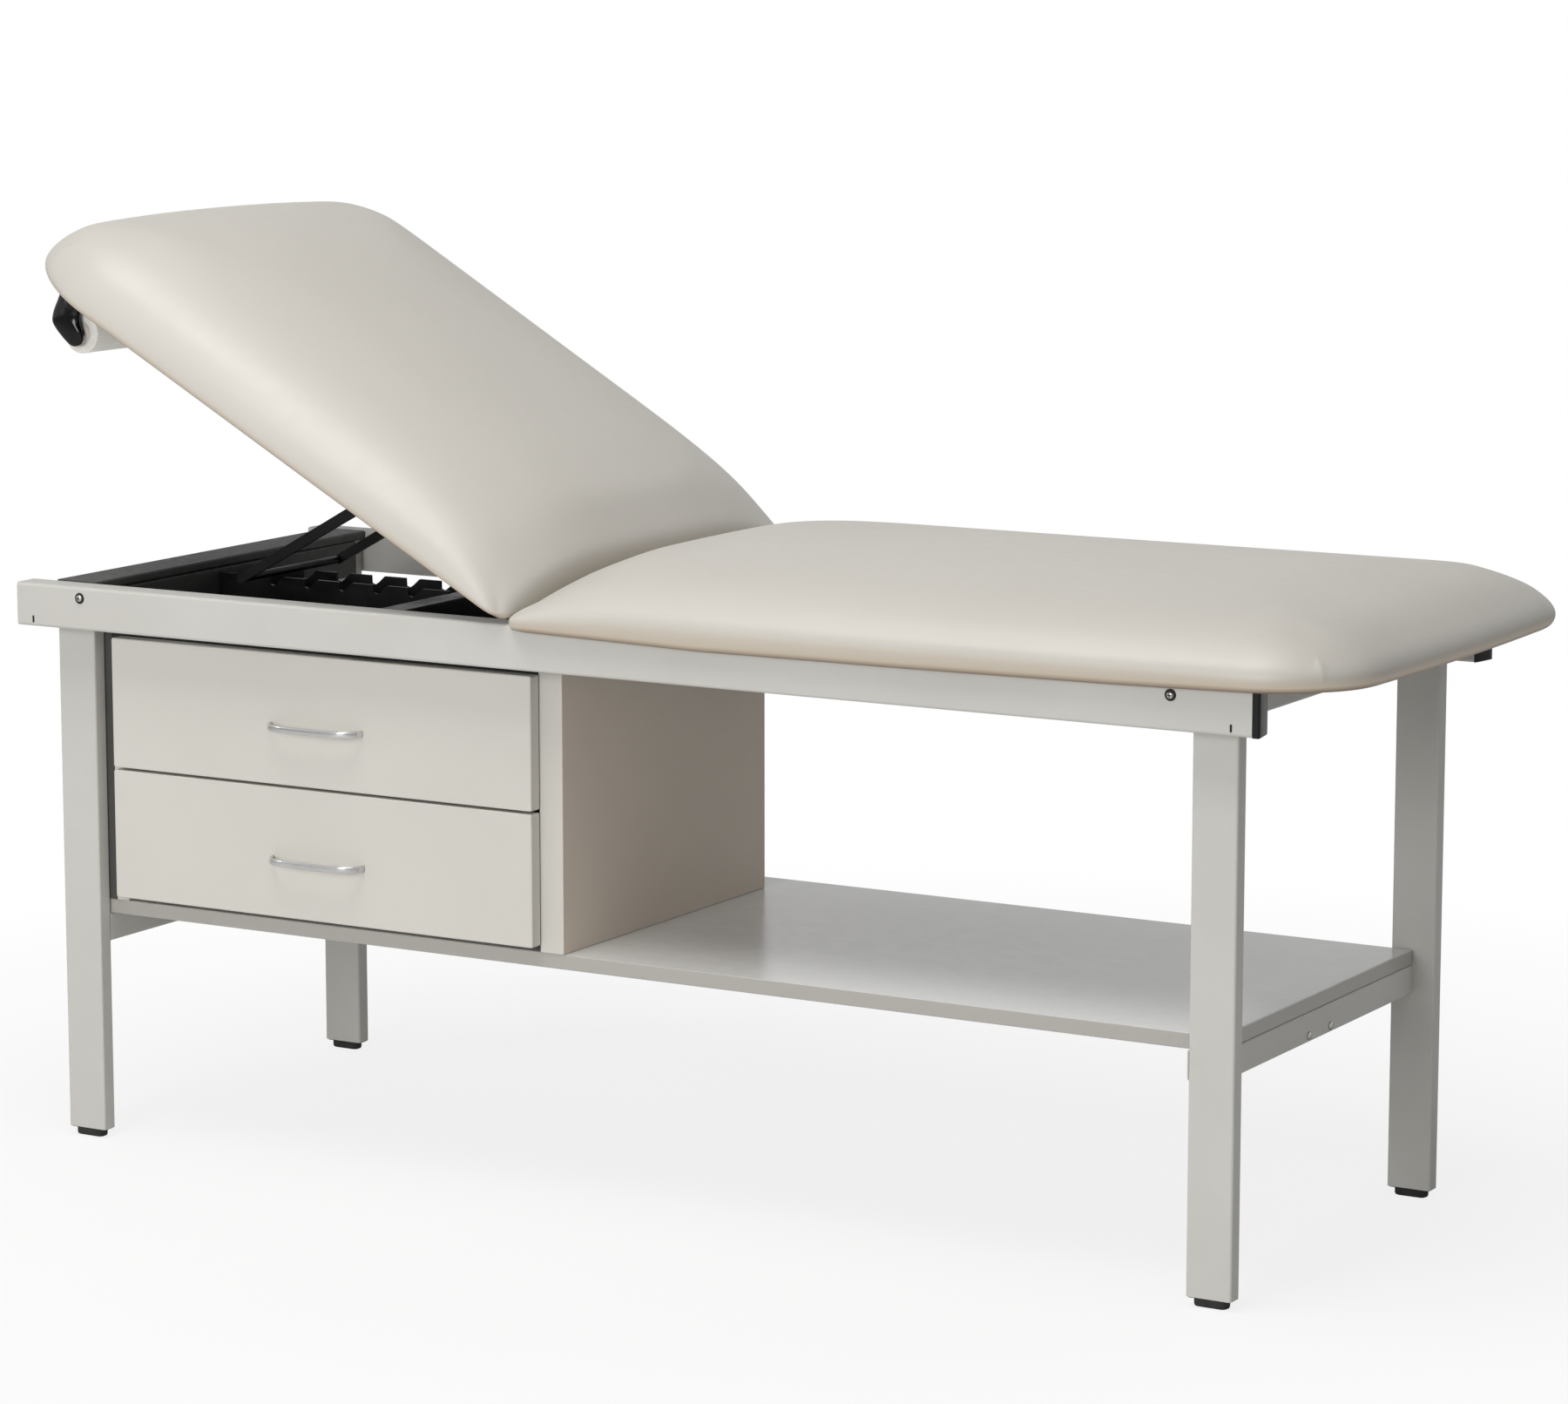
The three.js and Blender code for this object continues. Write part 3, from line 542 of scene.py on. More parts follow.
def lathe(name, profile, material, steps=32):
    """A closed body turned about local Z from (radius, height) points that start and end on the axis."""
    vertices, faces, rings = [], [], []
    for radius, height in profile:
        count = steps if radius else 1
        rings.append(range(len(vertices), len(vertices) + count))
        for k in range(count):
            turn = 2 * math.pi * k / steps
            vertices.append((radius * math.cos(turn), radius * math.sin(turn), height))
    for low, high in zip(rings, rings[1:]):
        for k in range(steps):
            n = (k + 1) % steps
            corners = (low[k % len(low)], low[n % len(low)], high[n % len(high)], high[k % len(high)])
            faces.append(list(dict.fromkeys(corners)))
    piece = make_object(name, vertices, faces, material)
    face_outward(piece)
    return piece


def disc(radius, height):
    """The profile of a plain round plug, for lathe."""
    return ((0, 0), (radius, 0), (radius, height), (0, height))


def squared(value):
    """Pushes a sine or cosine outward, so that a circle becomes a rounded square."""
    return math.copysign(abs(value) ** 0.5, value)


def sweep(name, path, half_across, half_up, material, steps=24):
    """A closed bar with a rounded rectangular section swept along a path in a horizontal plane."""
    up = Vector((0, 0, 1))
    turns = [2 * math.pi * k / steps for k in range(steps)]
    section = [(half_across * squared(math.cos(turn)), half_up * squared(math.sin(turn))) for turn in turns]
    rings = []
    for i, point in enumerate(path):
        along = (path[min(i + 1, len(path) - 1)] - path[max(i - 1, 0)]).normalized()
        side = along.cross(up).normalized()
        rings.append([point + side * x + up * z for x, z in section])
    return skin(name, rings, material)


# Sizes of a crowned body's rings against its outline, and their heights against its own height.
CROWN_LEVELS = (
    (0.15, 0.0), (0.45, 0.06), (0.70, 0.16), (0.88, 0.28), (0.97, 0.39), (1.0, 0.5),
    (0.97, 0.61), (0.88, 0.72), (0.70, 0.84), (0.45, 0.94), (0.15, 1.0),
)


def crowned(name, outline, height, material):
    """A closed body whose two faces bulge: rings of the outline, shrunk towards its middle at both faces."""
    centre = sum(outline, Vector((0, 0))) / len(outline)
    rings = []
    for scale, rise in CROWN_LEVELS:
        rings.append([(*(centre + (p - centre) * scale), rise * height) for p in outline])
    return skin(name, rings, material)


def round_curve(points, steps):
    """A smooth closed curve through points, as a list of points."""
    curve = []
    count = len(points)
    for k in range(count):
        p0, p1, p2, p3 = (Vector(points[(k + j - 1) % count]) for j in range(4))
        for step in range(steps):
            t = step / steps
            curve.append((p1 * 2 + (p2 - p0) * t + (p0 * 2 - p1 * 5 + p2 * 4 - p3) * t * t
                          + (p1 * 3 - p0 - p2 * 3 + p3) * t ** 3) / 2)
    return curve


def place_on_side(piece, x, side, z, y):
    """Turns a piece made along local +Z so that it points out of the near (-1) or far (1) side."""
    piece.data.transform(Matrix.Translation((x, y, z)) @ Matrix.Rotation(-side * math.pi / 2, 4, "X"))


def lay_across(piece, x, start, z, length, tilt=0.0):
    """Turns a piece made along local +Z so that it runs across the table, from Y = start."""
    stand = Matrix.Rotation(tilt, 4, "Y") @ Matrix.Rotation(math.pi / 2, 4, "X")
    piece.data.transform(Matrix.Translation((x, start + length, z)) @ stand)


# Padded sections --------------------------------------------------
def local_box(node, place):
    """Lowest and highest corner of a CAD node in a local frame."""
    inverse = place.inverted()
    points = np.array([inverse @ v.co for v in frame["nodes"][node].data.vertices])
    return points.min(0), points.max(0)


def edge_spacing(length, start, end):
    """Positions from 0 to length: the given lines at both ends and even steps between them."""
    tail = [length - line for line in reversed(end)]
    inner = max(2, round((tail[0] - start[-1]) / PAD_STEP))
    middle = np.linspace(start[-1], tail[0], inner + 1)[1:-1]
    return np.array(list(start) + list(middle) + tail)


def smooth_step(value):
    value = np.clip(value, 0, 1)
    return value * value * (3 - 2 * value)


def turn_over(distance, run, power=2):
    """Rises from 0 to 1 over a run as a quarter circle does: upright at the edge, level at the end."""
    return np.sqrt(1 - (1 - np.clip(distance / run, 0, 1)) ** power)


class Pad:
    """One padded section: vinyl pulled over foam on a board, drawn in its local frame.

    Its shape is given by these, where a pair is for the hinge end and the far end:
    far_corner   plan radius of the corners away from the hinge
    reach, bow   how far the far edge stands past the CAD cushion: all along, and more in the middle
    waist        height of the rim line over the underside; its far value holds from WAIST_RUN on
    droop        how far the rim hangs under the underside, at even steps from the hinge to the far end
    lift         how far the crown stands over the CAD cushion's top
    dome         what the middle rises over the crown
    square       how much of the shoulder follows SIDE_RUN, not SHOULDER_RUN, 0 to 1
    relief       the most that the hinge end leans away from the backrest board
    """

    def __init__(self, name, cushion, board, place, shape):
        self.name = name
        self.place = place
        self.shape = shape
        low, high = local_box(cushion, place)
        self.length, self.half, self.top = high
        self.bottom = low[2]
        board_low, board_high = local_box(board, place)
        self.recess = board_high[2] + BOARD_ROOM["above"]
        self.inset = self.half - board_high[1] - BOARD_ROOM["beside"]
        self.board_start = board_low[0] - BOARD_ROOM["at the hinge"]

    def plan(self, u, v):
        """Rounds the plan's corners, where squares map onto quarter discs, and bows the far edge."""
        u, v = u.copy(), v.copy()
        for from_far, corner in ((True, self.shape["far_corner"]), (False, HINGE_CORNER)):
            reach = self.length - u if from_far else u
            over_u = corner - reach
            over_v = corner - (self.half - np.abs(v))
            inside = (over_u > 0) & (over_v > 0)
            length = np.sqrt(over_u ** 2 + over_v ** 2)
            shrink = np.where(inside, np.maximum(over_u, over_v) / np.maximum(length, 1e-9), 1.0)
            new_reach = corner - over_u * shrink
            new_side = self.half - (corner - over_v * shrink)
            u = np.where(inside, self.length - new_reach if from_far else new_reach, u)
            v = np.where(inside, np.sign(v) * new_side, v)
        stretch = self.shape["reach"] + self.shape["bow"] * (1 - (v / self.half) ** 2)
        return u + stretch * (u / self.length) ** BOW_FADE, v

    def rise(self, rim, hinge):
        """Height of the top over the waist: 0 at the edge, 1 over the middle, pinched at the hinge."""
        square = self.shape["square"]
        crown = turn_over(rim, SHOULDER_RUN, CROWN_ROUND)
        shoulder = square * turn_over(rim, SIDE_RUN) + (1 - square) * crown
        crease = CREASE_AT_RIM + CREASE_GAIN * (1 - np.exp(-rim / CREASE_RUN))
        run = PINCH_RUN - PINCH_GAIN * smooth_step(rim / PINCH_INNER)
        filled = 1 - (1 - np.clip(hinge / run, 0, 1)) ** PINCH_ROUND
        return shoulder * (crease + (1 - crease) * filled) * turn_over(hinge, END_TURN)

    def build(self):
        """Makes the pad and returns it with the numbers of the points of its top."""
        us = edge_spacing(self.length, HINGE_LINES, RIM_LINES)
        vs = edge_spacing(2 * self.half, RIM_LINES, RIM_LINES) - self.half
        u, v = np.meshgrid(us, vs, indexing="ij")
        rim = np.minimum(self.length - u, self.half - np.abs(v))
        waist = self.bottom + np.interp(u, (0, WAIST_RUN), self.shape["waist"])
        crown = self.top + np.interp(u / self.length, (0, 1), self.shape["lift"])
        top = waist + (crown - waist) * self.rise(rim, u)
        across = 1 - (v / self.half) ** 2
        along = smooth_step(rim / SHOULDER_RUN) * smooth_step(u / PINCH_RUN)
        top += np.interp(u / self.length, (0, 1), self.shape["dome"]) * across * along
        under = self.underside(rim, u, waist)
        plan_u, plan_v = self.plan(u, v)
        return self.mesh(plan_u, plan_v, {"top": top, "under": under, "rim": waist})

    def underside(self, rim, hinge, waist):
        """The underside: a rim that hangs a little, level over the rails, and a recess for the board."""
        droop = self.shape["droop"]
        lowest = self.bottom - np.interp(hinge / self.length, np.linspace(0, 1, len(droop)), droop)
        under = waist - (waist - lowest) * turn_over(rim, RIM_TURN)
        under = np.where(rim > RIM_WIDTH, self.bottom, under)
        under = waist - (waist - under) * turn_over(hinge, END_UNDERTURN)
        over_board = (rim > self.inset) & (hinge > self.board_start)
        return np.where(over_board, self.recess, under)

    def lean(self, u, v, w):
        """Leans the hinge end back so that the two pads meet along one plane.

        A pad with relief leans further where the backrest board swings past the hinge as the backrest rises.
        """
        relief = self.shape["relief"]
        back = CREASE_LEAN * w + CREASE_GAP
        if relief and abs(v) < self.half - self.inset:
            back = max(back, min(RELIEF_LEAN * w, relief))
        return u + back * (1 - smooth_step(u / LEAN_RUN))

    def mesh(self, u, v, heights):
        """Joins the top and the underside along the rim line."""
        rows, columns = u.shape
        vertices, index = [], {}

        def add(i, j, sheet):
            if i in (0, rows - 1) or j in (0, columns - 1):
                sheet = "rim"
            if (i, j, sheet) not in index:
                w = heights[sheet][i, j]
                index[i, j, sheet] = len(vertices)
                vertices.append((self.lean(u[i, j], v[i, j], w), v[i, j], w))
            return index[i, j, sheet]

        faces = []
        for i in range(rows - 1):
            for j in range(columns - 1):
                corners = ((i, j), (i + 1, j), (i + 1, j + 1), (i, j + 1))
                faces.append([add(a, b, "top") for a, b in corners])
                faces.append([add(a, b, "under") for a, b in reversed(corners)])
        world = [self.place @ Vector(p) for p in vertices]
        piece = make_object(self.name, world, faces, MATERIALS["vinyl"])
        face_outward(piece)
        return piece, [n for (_, _, sheet), n in index.items() if sheet == "top"]


def swell(piece, soft):
    """Inflates the pad's top as cloth: its underside and rim are held, as they are by staples."""
    rest = np.array([v.co for v in piece.data.vertices])
    held = piece.vertex_groups.new(name="held")
    held.add(sorted(set(range(len(rest))) - set(soft)), 1.0, "REPLACE")
    cloth = piece.modifiers.new("cloth", "CLOTH")
    settings = cloth.settings
    settings.quality = 5
    settings.mass = 0.4
    settings.air_damping = 4
    settings.tension_stiffness = 18
    settings.compression_stiffness = 18
    settings.shear_stiffness = 10
    settings.bending_stiffness = 1.5
    settings.use_pressure = True
    settings.uniform_pressure_force = 4.0
    settings.vertex_group_mass = "held"
    settings.effector_weights.gravity = 0
    cloth.collision_settings.use_collision = False
    cloth.point_cache.frame_start = 1
    cloth.point_cache.frame_end = SIM_FRAMES
    scene = bpy.context.scene
    for number in range(1, SIM_FRAMES + 1):
        scene.frame_set(number)
    graph = bpy.context.evaluated_depsgraph_get()
    moved = np.array([v.co for v in piece.evaluated_get(graph).data.vertices])
    scene.frame_set(1)
    piece.modifiers.clear()
    piece.vertex_groups.clear()
    shift = calm(piece, moved - rest, soft)
    length = np.linalg.norm(shift, axis=1, keepdims=True)
    shift *= np.minimum(1.0, SIM_CAP / np.maximum(length, 1e-9))
    piece.data.vertices.foreach_set("co", (rest + shift).astype(np.float32).ravel())
    piece.data.update()


def calm(piece, shift, soft):
    """Averages the cloth's movement over neighbouring points, keeping the held points still."""
    edges = np.array([edge.vertices[:] for edge in piece.data.edges])
    count = len(piece.data.vertices)
    degree = np.bincount(edges.ravel(), minlength=count)[:, None]
    free = np.zeros((count, 1))
    free[soft] = 1
    for _ in range(SIM_CALM):
        total = np.zeros_like(shift)
        np.add.at(total, edges[:, 0], shift[edges[:, 1]])
        np.add.at(total, edges[:, 1], shift[edges[:, 0]])
        shift = free * (shift + total / degree) / 2
    return shift


def refine(piece, soft):
    """Relaxes the top only, so that the fit round the board and rails stays, and subdivides the pad."""
    group = piece.vertex_groups.new(name="soft")
    group.add(soft, 1.0, "REPLACE")
    relax = piece.modifiers.new("relax", "SMOOTH")
    relax.vertex_group = "soft"
    relax.factor = 0.5
    relax.iterations = 4
    rounder = piece.modifiers.new("rounder", "SUBSURF")
    rounder.levels = 1
    rounder.render_levels = 1
    apply_modifiers(piece)


def build_pad(name, cushion, board, place, shape):
    """Makes a pad in place of its CAD cushion."""
    piece, soft = Pad(name, cushion, board, place, shape).build()
    swell(piece, soft)
    refine(piece, soft)
    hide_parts(cushion)
    return piece


def build_pads():
    seat = build_pad("seat_pad", "seat_cushion", "seat_board", SEAT_FRAME, SEAT_SHAPE)
    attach(seat, "frame")
    back = build_pad("backrest_pad", "backrest_cushion", "backrest_board", BACK_FRAME, BACK_SHAPE)
    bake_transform(back)


# Drawer pulls --------------------------------------------------
PULL_BAR = (0.0018, 0.0041)    # half its thickness and half its height
PULL_MARGIN = 0.002            # how far the bar's middle line stays inside the CAD pull
PULL_STEPS = 48
PULL_SPREAD = 0.9              # below 1 puts the path's points closer to the feet
PULL_FLATNESS = 5              # more makes the front straighter
PULL_BEND = 0.55               # less makes the bends tighter


def pull_path(low, high):
    """The middle line of a bow pull: a flat front that curves back to two short feet."""
    middle = (low + high) / 2
    half = (high.x - low.x) / 2 - PULL_MARGIN
    depth = high.y - low.y - PULL_MARGIN
    path = []
    for k in range(PULL_STEPS + 1):
        turn = math.pi * (k / PULL_STEPS - 0.5)
        along = math.copysign(abs(math.sin(turn)) ** PULL_SPREAD, turn)
        out = depth * max(0.0, 1 - abs(along) ** PULL_FLATNESS) ** PULL_BEND
        path.append(Vector((middle.x + half * along, high.y - out, middle.z)))
    return path


def build_pulls():
    """Slim chromed bow pulls on the drawer fronts."""
    for tag in ("top", "bottom"):
        path = pull_path(*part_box(f"drawer_pull_{tag}"))
        bar = sweep(f"bow_pull_{tag}", path, *PULL_BAR, MATERIALS["chrome"])
        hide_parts(f"drawer_pull_{tag}")
        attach(bar, f"drawer_{tag}")


# Paper roll and its brackets --------------------------------------------------
# The bracket's side view, as (towards the head, up) from the roll's axis, before the backrest's tilt.
BRACKET_OUTLINE = (
    (0.013, 0.0585), (0.011, 0.036), (0.003, 0.016), (-0.010, 0.003), (-0.013, -0.007), (-0.005, -0.0165),
    (0.008, -0.0175), (0.034, -0.0095), (0.042, 0.001), (0.044, 0.022), (0.043, 0.0585),
)
BRACKET_DEPTH = 0.0125
HUB = (0.006, 0.012)          # radius and length
HUB_BITE = 0.001              # how far the hub reaches into its bracket

CORE_RADIUS = 0.0145          # inside of the wound paper
CARD_TUBE = (0.0121, 0.0142)  # inner and outer radius
CARD_SHORT = 0.002            # how far the card tube ends inside the paper
CORE_PLUG = (0.0142, 0.004)   # radius and length
LAYERS = 7                    # steps on the ends of the roll
LAYER_STEP = 0.0012
ROLL_CHAMFER = (0.001, 0.0015)


def build_roll_brackets():
    """Glossy moulded brackets, each with a short hub, that carry the paper roll under the head end."""
    outline = [Vector((-p.x, p.y)) for p in round_curve(BRACKET_OUTLINE, steps=5)]
    for side_name, side in SIDES:
        node = f"paper_bracket_{side_name}"
        low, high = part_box(node)
        start = low.y if side < 0 else high.y - BRACKET_DEPTH
        bracket = crowned(f"roll_bracket_{side_name}", outline, BRACKET_DEPTH, MATERIALS["black_plastic"])
        lay_across(bracket, ROLL_AXIS.x, start, ROLL_AXIS.z, BRACKET_DEPTH, TILT)
        hub = lathe(f"roll_hub_{side_name}", disc(*HUB), MATERIALS["black_plastic"])
        hub_start = start + BRACKET_DEPTH - HUB_BITE if side < 0 else start + HUB_BITE - HUB[1]
        lay_across(hub, ROLL_AXIS.x, hub_start, ROLL_AXIS.z, HUB[1])
        for part in (bracket, hub):
            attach(part, "backrest")
        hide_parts(node)


def wound_profile(radius, half):
    """The wound paper's section, whose ends step in and out as its layers do."""
    cut, fall = ROLL_CHAMFER
    layers = [(CORE_RADIUS + (radius - cut - CORE_RADIUS) * k / LAYERS, LAYER_STEP * (k % 2))
              for k in range(LAYERS + 1)]
    profile = [(CORE_RADIUS, CARD_SHORT - half)]
    profile += [(r, inset - half) for r, inset in layers]
    profile += [(radius, fall - half), (radius, half - fall)]
    profile += [(r, half - inset) for r, inset in reversed(layers)]
    profile.append((CORE_RADIUS, half - CARD_SHORT))
    return profile


def build_paper_roll():
    """A wound roll on a card tube whose ends are plugged."""
    low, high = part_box("paper_roll")
    centre = (low + high) / 2
    half = (high.y - low.y) / 2 + ROLL_EXTRA
    roll = ring_body("paper_wound", wound_profile((high.x - low.x) / 2, half), MATERIALS["paper"], steps=72)
    inner, outer = CARD_TUBE
    end = half - CARD_SHORT
    tube_profile = ((inner, -end), (outer, -end), (outer, end), (inner, end))
    tube = ring_body("paper_core_tube", tube_profile, CARD, steps=48)
    for piece in (roll, tube):
        lay_across(piece, centre.x, centre.y, centre.z, 0)
        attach(piece, "paper_roll")
    for side_name, side in SIDES:
        plug = lathe(f"core_plug_{side_name}", disc(*CORE_PLUG), MATERIALS["drawer_box"], steps=40)
        start = -half if side < 0 else half - CORE_PLUG[1]
        lay_across(plug, ROLL_AXIS.x, start, ROLL_AXIS.z, CORE_PLUG[1])
        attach(plug, "paper_roll")
    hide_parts("paper_roll")


# Rails' small parts --------------------------------------------------
CAP_SHORT = 0.004             # how much less a rail plug stands out than its CAD cap
CAP_SEAM = 0.0003             # gap between a rail and its plug
CAP_NOSE = 0.001              # roundness of the plug's outer edge
CAP_FACE = 0.008              # width of the plug's flat faces at both edges
CAP_SLOPE_END = 0.4           # depth at which the slope ends, as a share of the plug's reach
CAP_ROUND = 0.0012            # rounding of the plug's edges

SCREW_GROW = 0.0008           # how much the countersunk ring is wider than the CAD screw
SCREW_DOME = ((0, 0), (0.62, 0), (0.62, 0.0006), (0.5, 0.0015), (0.3, 0.0021), (0, 0.0023))
SCREW_RING = (0.0004, 0.0010, 0.001)    # height at its edge, height inside, width of the slope
SCREW_CROSS = (0.34, 0.26, 0.0008)      # reach over the ring's radius, arm width over reach, height
SCREW_LIFT = {"head": 0.0008, "ring": 0.0, "cross": 0.0024}

SLOT_PLACE = (0.025, 0.009)             # from the rail's end, up from its underside
SLOT_HALF = (0.0013, 0.0045)
SLOT_HEIGHT = 0.0004
SLOT_CUT = 0.6                          # size of the cut corners over the smaller half size

BOLT_DOME = ((0, 0), (0.0048, 0), (0.0048, 0.0014), (0.0034, 0.0026), (0, 0.003))
BOLT_PLACE = (0.030, 0.008)             # from the middle, up from the tie's underside


def build_rail_caps():
    """Black plugs in the rails' foot ends, sloped back towards the inside of the table."""
    for side_name, side in SIDES:
        node = f"rail_cap_{side_name}"
        low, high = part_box(f"rail_{side_name}")
        start = high.x + CAP_SEAM
        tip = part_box(node)[1].x - CAP_SHORT
        inner, outer = sorted((low.y, high.y), key=abs)
        slope_end = start + (tip - start) * CAP_SLOPE_END
        outline = [
            (start, outer), (tip - CAP_NOSE, outer), (tip, outer - side * 2 * CAP_NOSE),
            (tip - CAP_NOSE, outer - side * CAP_FACE), (slope_end, inner + side * CAP_FACE),
            (start + 2 * CAP_SEAM, inner), (start, inner),
        ]
        plug = prism(f"rail_plug_{side_name}", outline, high.z - low.z, MATERIALS["black_plastic"])
        round_edges(plug, CAP_ROUND, segments=3, angle=50)
        apply_modifiers(plug)
        plug.data.transform(Matrix.Translation((0, 0, low.z)))
        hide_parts(node)
        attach(plug, "frame")


def cross_mark(name, reach):
    """A thin plus-shaped prism of painted shade that reads as a driver recess."""
    arm = reach * SCREW_CROSS[1]
    outline = [(reach, -arm), (reach, arm), (arm, arm), (arm, reach), (-arm, reach), (-arm, arm),
               (-reach, arm), (-reach, -arm), (-arm, -arm), (-arm, -reach), (arm, -reach), (arm, -arm)]
    return prism(name, outline, SCREW_CROSS[2], RECESS, smooth=False)


def build_screw(tag, node, side):
    """A domed screw head in a countersunk ring of painted shade, with a cross recess of painted shade."""
    low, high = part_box(node)
    middle = (low + high) / 2
    face = high.y if side < 0 else low.y
    radius = (high.x - low.x) / 2 + SCREW_GROW
    edge, inside, slope = SCREW_RING
    ring = ((0, 0), (radius, 0), (radius, edge), (radius - slope, inside), (0, inside))
    pieces = {
        "head": lathe(f"screw_head_{tag}", [(r * radius, h) for r, h in SCREW_DOME], MATERIALS["zinc"]),
        "ring": lathe(f"screw_ring_{tag}", ring, RECESS),
        "cross": cross_mark(f"screw_cross_{tag}", radius * SCREW_CROSS[0]),
    }
    for kind, piece in pieces.items():
        place_on_side(piece, middle.x, side, middle.z, face + side * SCREW_LIFT[kind])
        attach(piece, "frame")
    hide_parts(node)


def build_rail_screws():
    for end in ("head", "foot"):
        for side_name, side in SIDES:
            build_screw(f"{end}_{side_name}", f"rail_screw_{end}_{side_name}", side)


def slot_outline():
    """An upright oblong with cut corners."""
    x, y = SLOT_HALF
    cut = min(x, y) * SLOT_CUT
    return [(x - cut, -y), (x, cut - y), (x, y - cut), (x - cut, y),
            (cut - x, y), (-x, y - cut), (-x, cut - y), (cut - x, -y)]


def build_rail_slots():
    """A small slot of painted shade low on each rail's side, close to each end."""
    inset, up = SLOT_PLACE
    for side_name, side in SIDES:
        low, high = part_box(f"rail_{side_name}")
        face = low.y if side < 0 else high.y
        for end, x in (("head", low.x + inset), ("foot", high.x - inset)):
            slot = prism(f"rail_slot_{end}_{side_name}", slot_outline(), SLOT_HEIGHT, RECESS, smooth=False)
            place_on_side(slot, x, side, low.z + up, face)
            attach(slot, "frame")


def build_tie_bolts():
    """Two bolt heads on the outer face of the lower tie at the foot end."""
    low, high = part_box("lower_tie_foot")
    out, up = BOLT_PLACE
    for side_name, side in SIDES:
        bolt = lathe(f"tie_bolt_{side_name}", BOLT_DOME, MATERIALS["zinc"], steps=24)
        place = Matrix.Translation((high.x, side * out, low.z + up))
        bolt.data.transform(place @ Matrix.Rotation(math.pi / 2, 4, "Y"))
        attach(bolt, "frame")


# Carried-over CAD nodes --------------------------------------------------
WELD = 0.00002                # points closer than this become one, so that edges can be rounded

# Width of the rounding on the edges of each slot's nodes.
EDGE_WIDTH = {
    "frame_paint": 0.0008, "black_paint": 0.0007, "laminate": 0.0009, "shelf_laminate": 0.0012,
    "dark_panel": 0.0006, "board": 0.002, "black_plastic": 0.0018, "rubber": 0.0012, "zinc": 0.0004,
    "drawer_box": 0.0008,
}

# Nodes whose look differs from their slot's common finish: the cabinet sides take painted warm bounce light, and
# the cabinet top is painted black as painted shade.
OWN_FINISH = {
    "cabinet_side_head": "cabinet_laminate",
    "cabinet_side_foot": "cabinet_laminate",
    "cabinet_top": "painted_shade_panel",
}


def soften(node, width):
    """Rounds the sharp edges of a carried-over CAD node."""
    weld = node.modifiers.new("weld", "WELD")
    weld.merge_threshold = WELD
    if "custom_normal" in node.data.attributes:
        node.data.attributes.remove(node.data.attributes["custom_normal"])
    node.data.polygons.foreach_set("use_smooth", [True] * len(node.data.polygons))
    round_edges(node, width, segments=2, angle=32)
    weights = node.modifiers.new("normals", "WEIGHTED_NORMAL")
    weights.keep_sharp = True


def dress_cad_nodes():
    """Gives every carried-over CAD node its finish and lightly rounded edges."""
    slots = {row["node"]: row["material_slot"] for row in frame["record"]["subparts"]}
    for name, node in frame["nodes"].items():
        slot = slots[name]
        node.data.materials.clear()
        node.data.materials.append(MATERIALS[OWN_FINISH.get(name, slot)])
        if slot in EDGE_WIDTH:
            soften(node, EDGE_WIDTH[slot])


# Stage --------------------------------------------------
FLOOR_HALF = 30.0
FLOOR_DROP = 0.0005           # keeps the floor clear of the glides

LIGHT_TARGET = (0.0, 0.0, 0.6)
LIGHTS = (                    # name, place, size, power, colour
    ("key", (-0.15, -1.15, 3.6), 2.2, 70, (1.0, 0.985, 0.96)),
    ("front", (0.2, -6.2, 1.9), 2.4, 138, (1.0, 1.0, 1.0)),
    ("edge", (-4.0, -3.0, 1.5), 0.7, 13, (1.0, 1.0, 1.0)),
)

CAMERA_PLACE = (3.069, -5.249, 1.573)
CAMERA_DIP = 0.1611           # how far it looks below level, in radians
CAMERA_TURN = 0.5265          # how far it is turned left of +Y, in radians
LENS_MM = 116.2
SENSOR_MM = 36.0


def build_floor():
    corners = [(-FLOOR_HALF, -FLOOR_HALF, 0), (FLOOR_HALF, -FLOOR_HALF, 0),
               (FLOOR_HALF, FLOOR_HALF, 0), (-FLOOR_HALF, FLOOR_HALF, 0)]
    floor = make_object("floor", corners, [(0, 1, 2, 3)], studio_floor())
    floor.location.z = -FLOOR_DROP


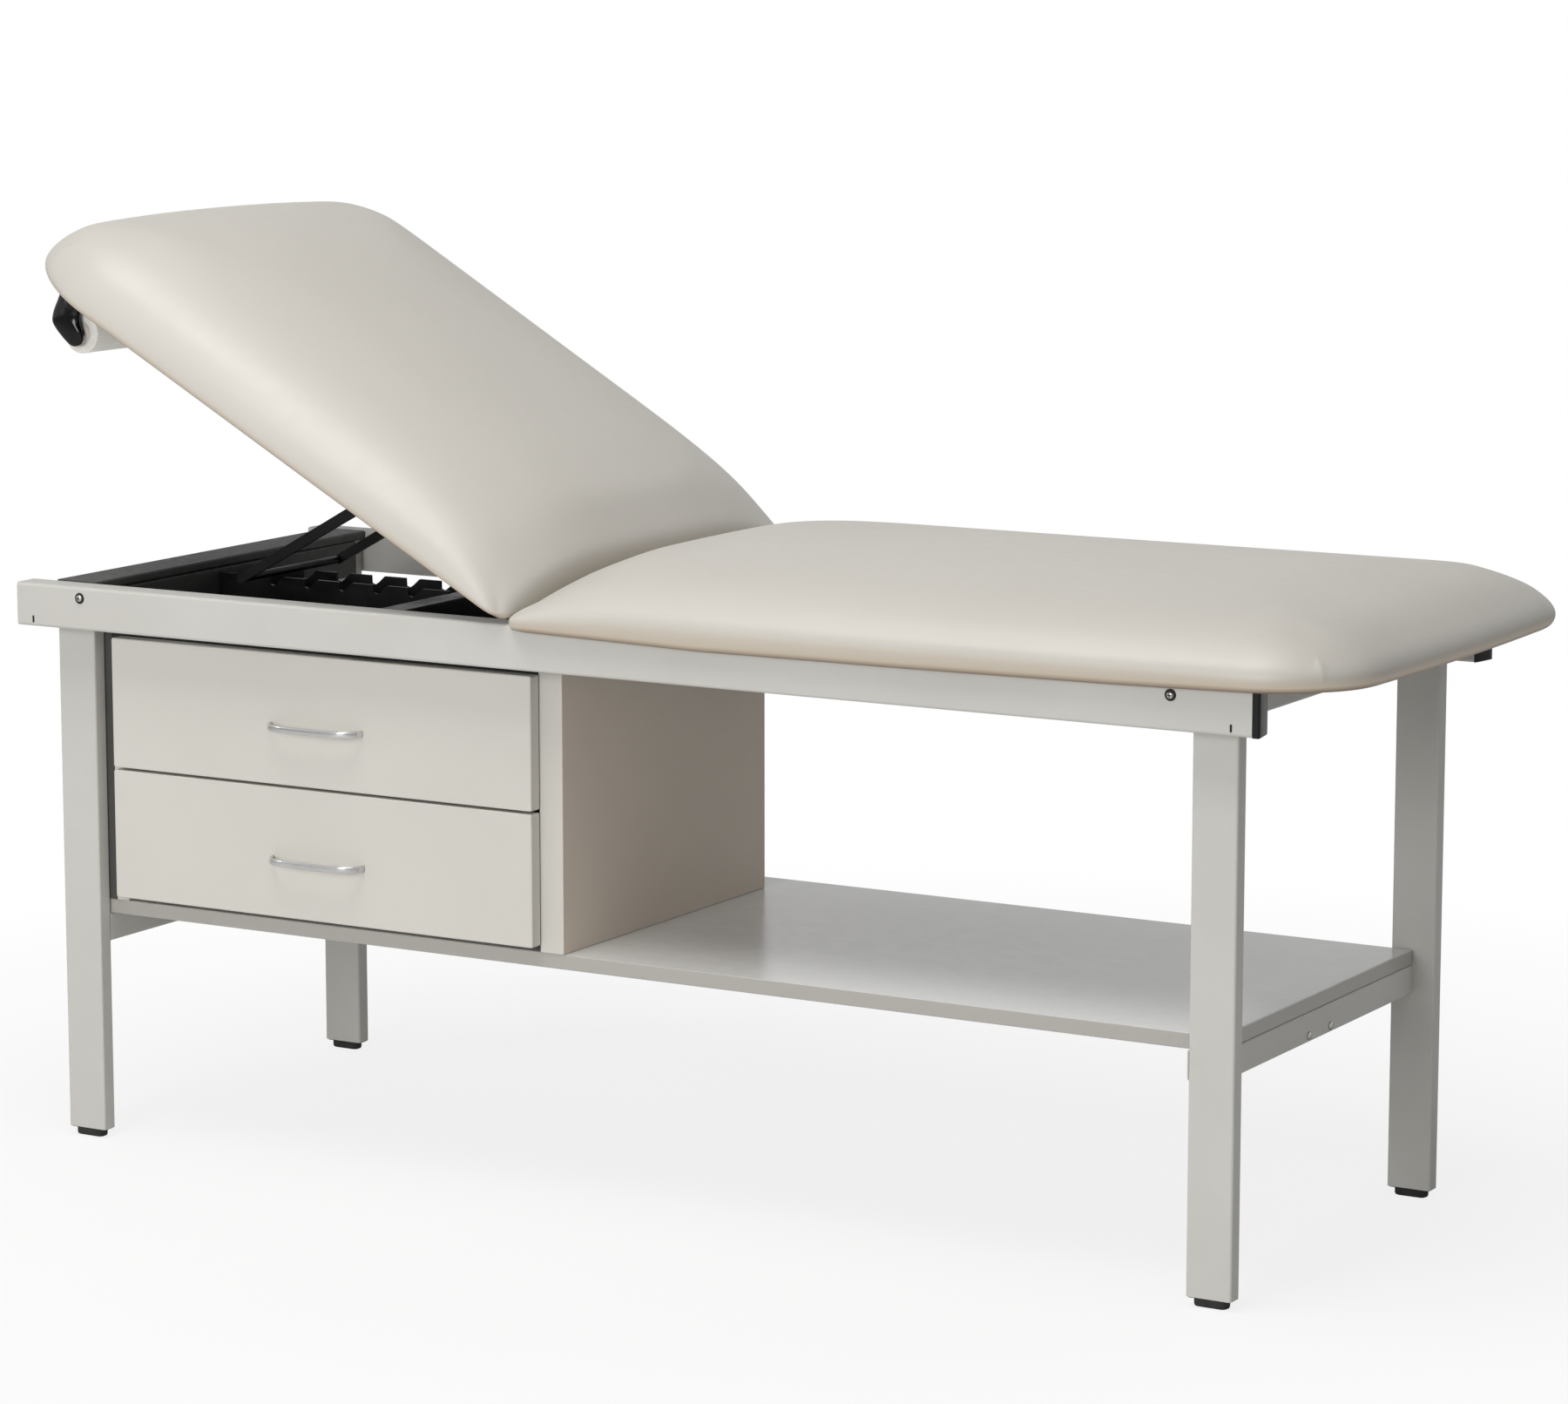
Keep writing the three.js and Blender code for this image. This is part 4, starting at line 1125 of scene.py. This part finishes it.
def build_world():
    """White where the camera sees it, a little dimmer in reflections, and weak as a light."""
    world = bpy.data.worlds.new("studio")
    bpy.context.scene.world = world
    world.use_nodes = True
    tree = world.node_tree
    background = tree.nodes["Background"]
    background.inputs["Color"].default_value = (1.0, 1.0, 1.0, 1.0)
    path = tree.nodes.new("ShaderNodeLightPath")
    mirrored = tree.nodes.new("ShaderNodeMath")
    mirrored.operation = "MULTIPLY"
    mirrored.inputs[1].default_value = BACKDROP_GLOSS
    tree.links.new(path.outputs["Is Glossy Ray"], mirrored.inputs[0])
    seen = tree.nodes.new("ShaderNodeMath")
    seen.operation = "MAXIMUM"
    tree.links.new(path.outputs["Is Camera Ray"], seen.inputs[0])
    tree.links.new(mirrored.outputs["Value"], seen.inputs[1])
    level = tree.nodes.new("ShaderNodeMapRange")
    level.inputs["To Min"].default_value = WORLD_LIGHT
    level.inputs["To Max"].default_value = 1.0
    tree.links.new(seen.outputs["Value"], level.inputs["Value"])
    tree.links.new(level.outputs["Result"], background.inputs["Strength"])


def build_lights():
    """Soft round lights that all look at the middle of the table."""
    for name, place, size, power, colour in LIGHTS:
        lamp = bpy.data.lights.new(name, "AREA")
        lamp.shape = "DISK"
        lamp.size = size
        lamp.energy = power
        lamp.color = colour
        holder = bpy.data.objects.new(name, lamp)
        bpy.context.scene.collection.objects.link(holder)
        holder.location = place
        holder.rotation_euler = (Vector(LIGHT_TARGET) - Vector(place)).to_track_quat("-Z", "Y").to_euler()


def build_camera():
    lens = bpy.data.cameras.new("camera")
    lens.sensor_width = SENSOR_MM
    lens.lens = LENS_MM
    camera = bpy.data.objects.new("camera", lens)
    bpy.context.scene.collection.objects.link(camera)
    camera.location = CAMERA_PLACE
    camera.rotation_euler = (math.pi / 2 - CAMERA_DIP, 0, CAMERA_TURN)
    bpy.context.scene.camera = camera


def main():
    dress_cad_nodes()
    build_pads()
    build_pulls()
    build_roll_brackets()
    build_rail_caps()
    build_rail_screws()
    build_rail_slots()
    build_tie_bolts()
    build_paper_roll()
    build_floor()
    build_world()
    build_lights()
    build_camera()
    bpy.context.scene.view_settings.view_transform = "Standard"


main()
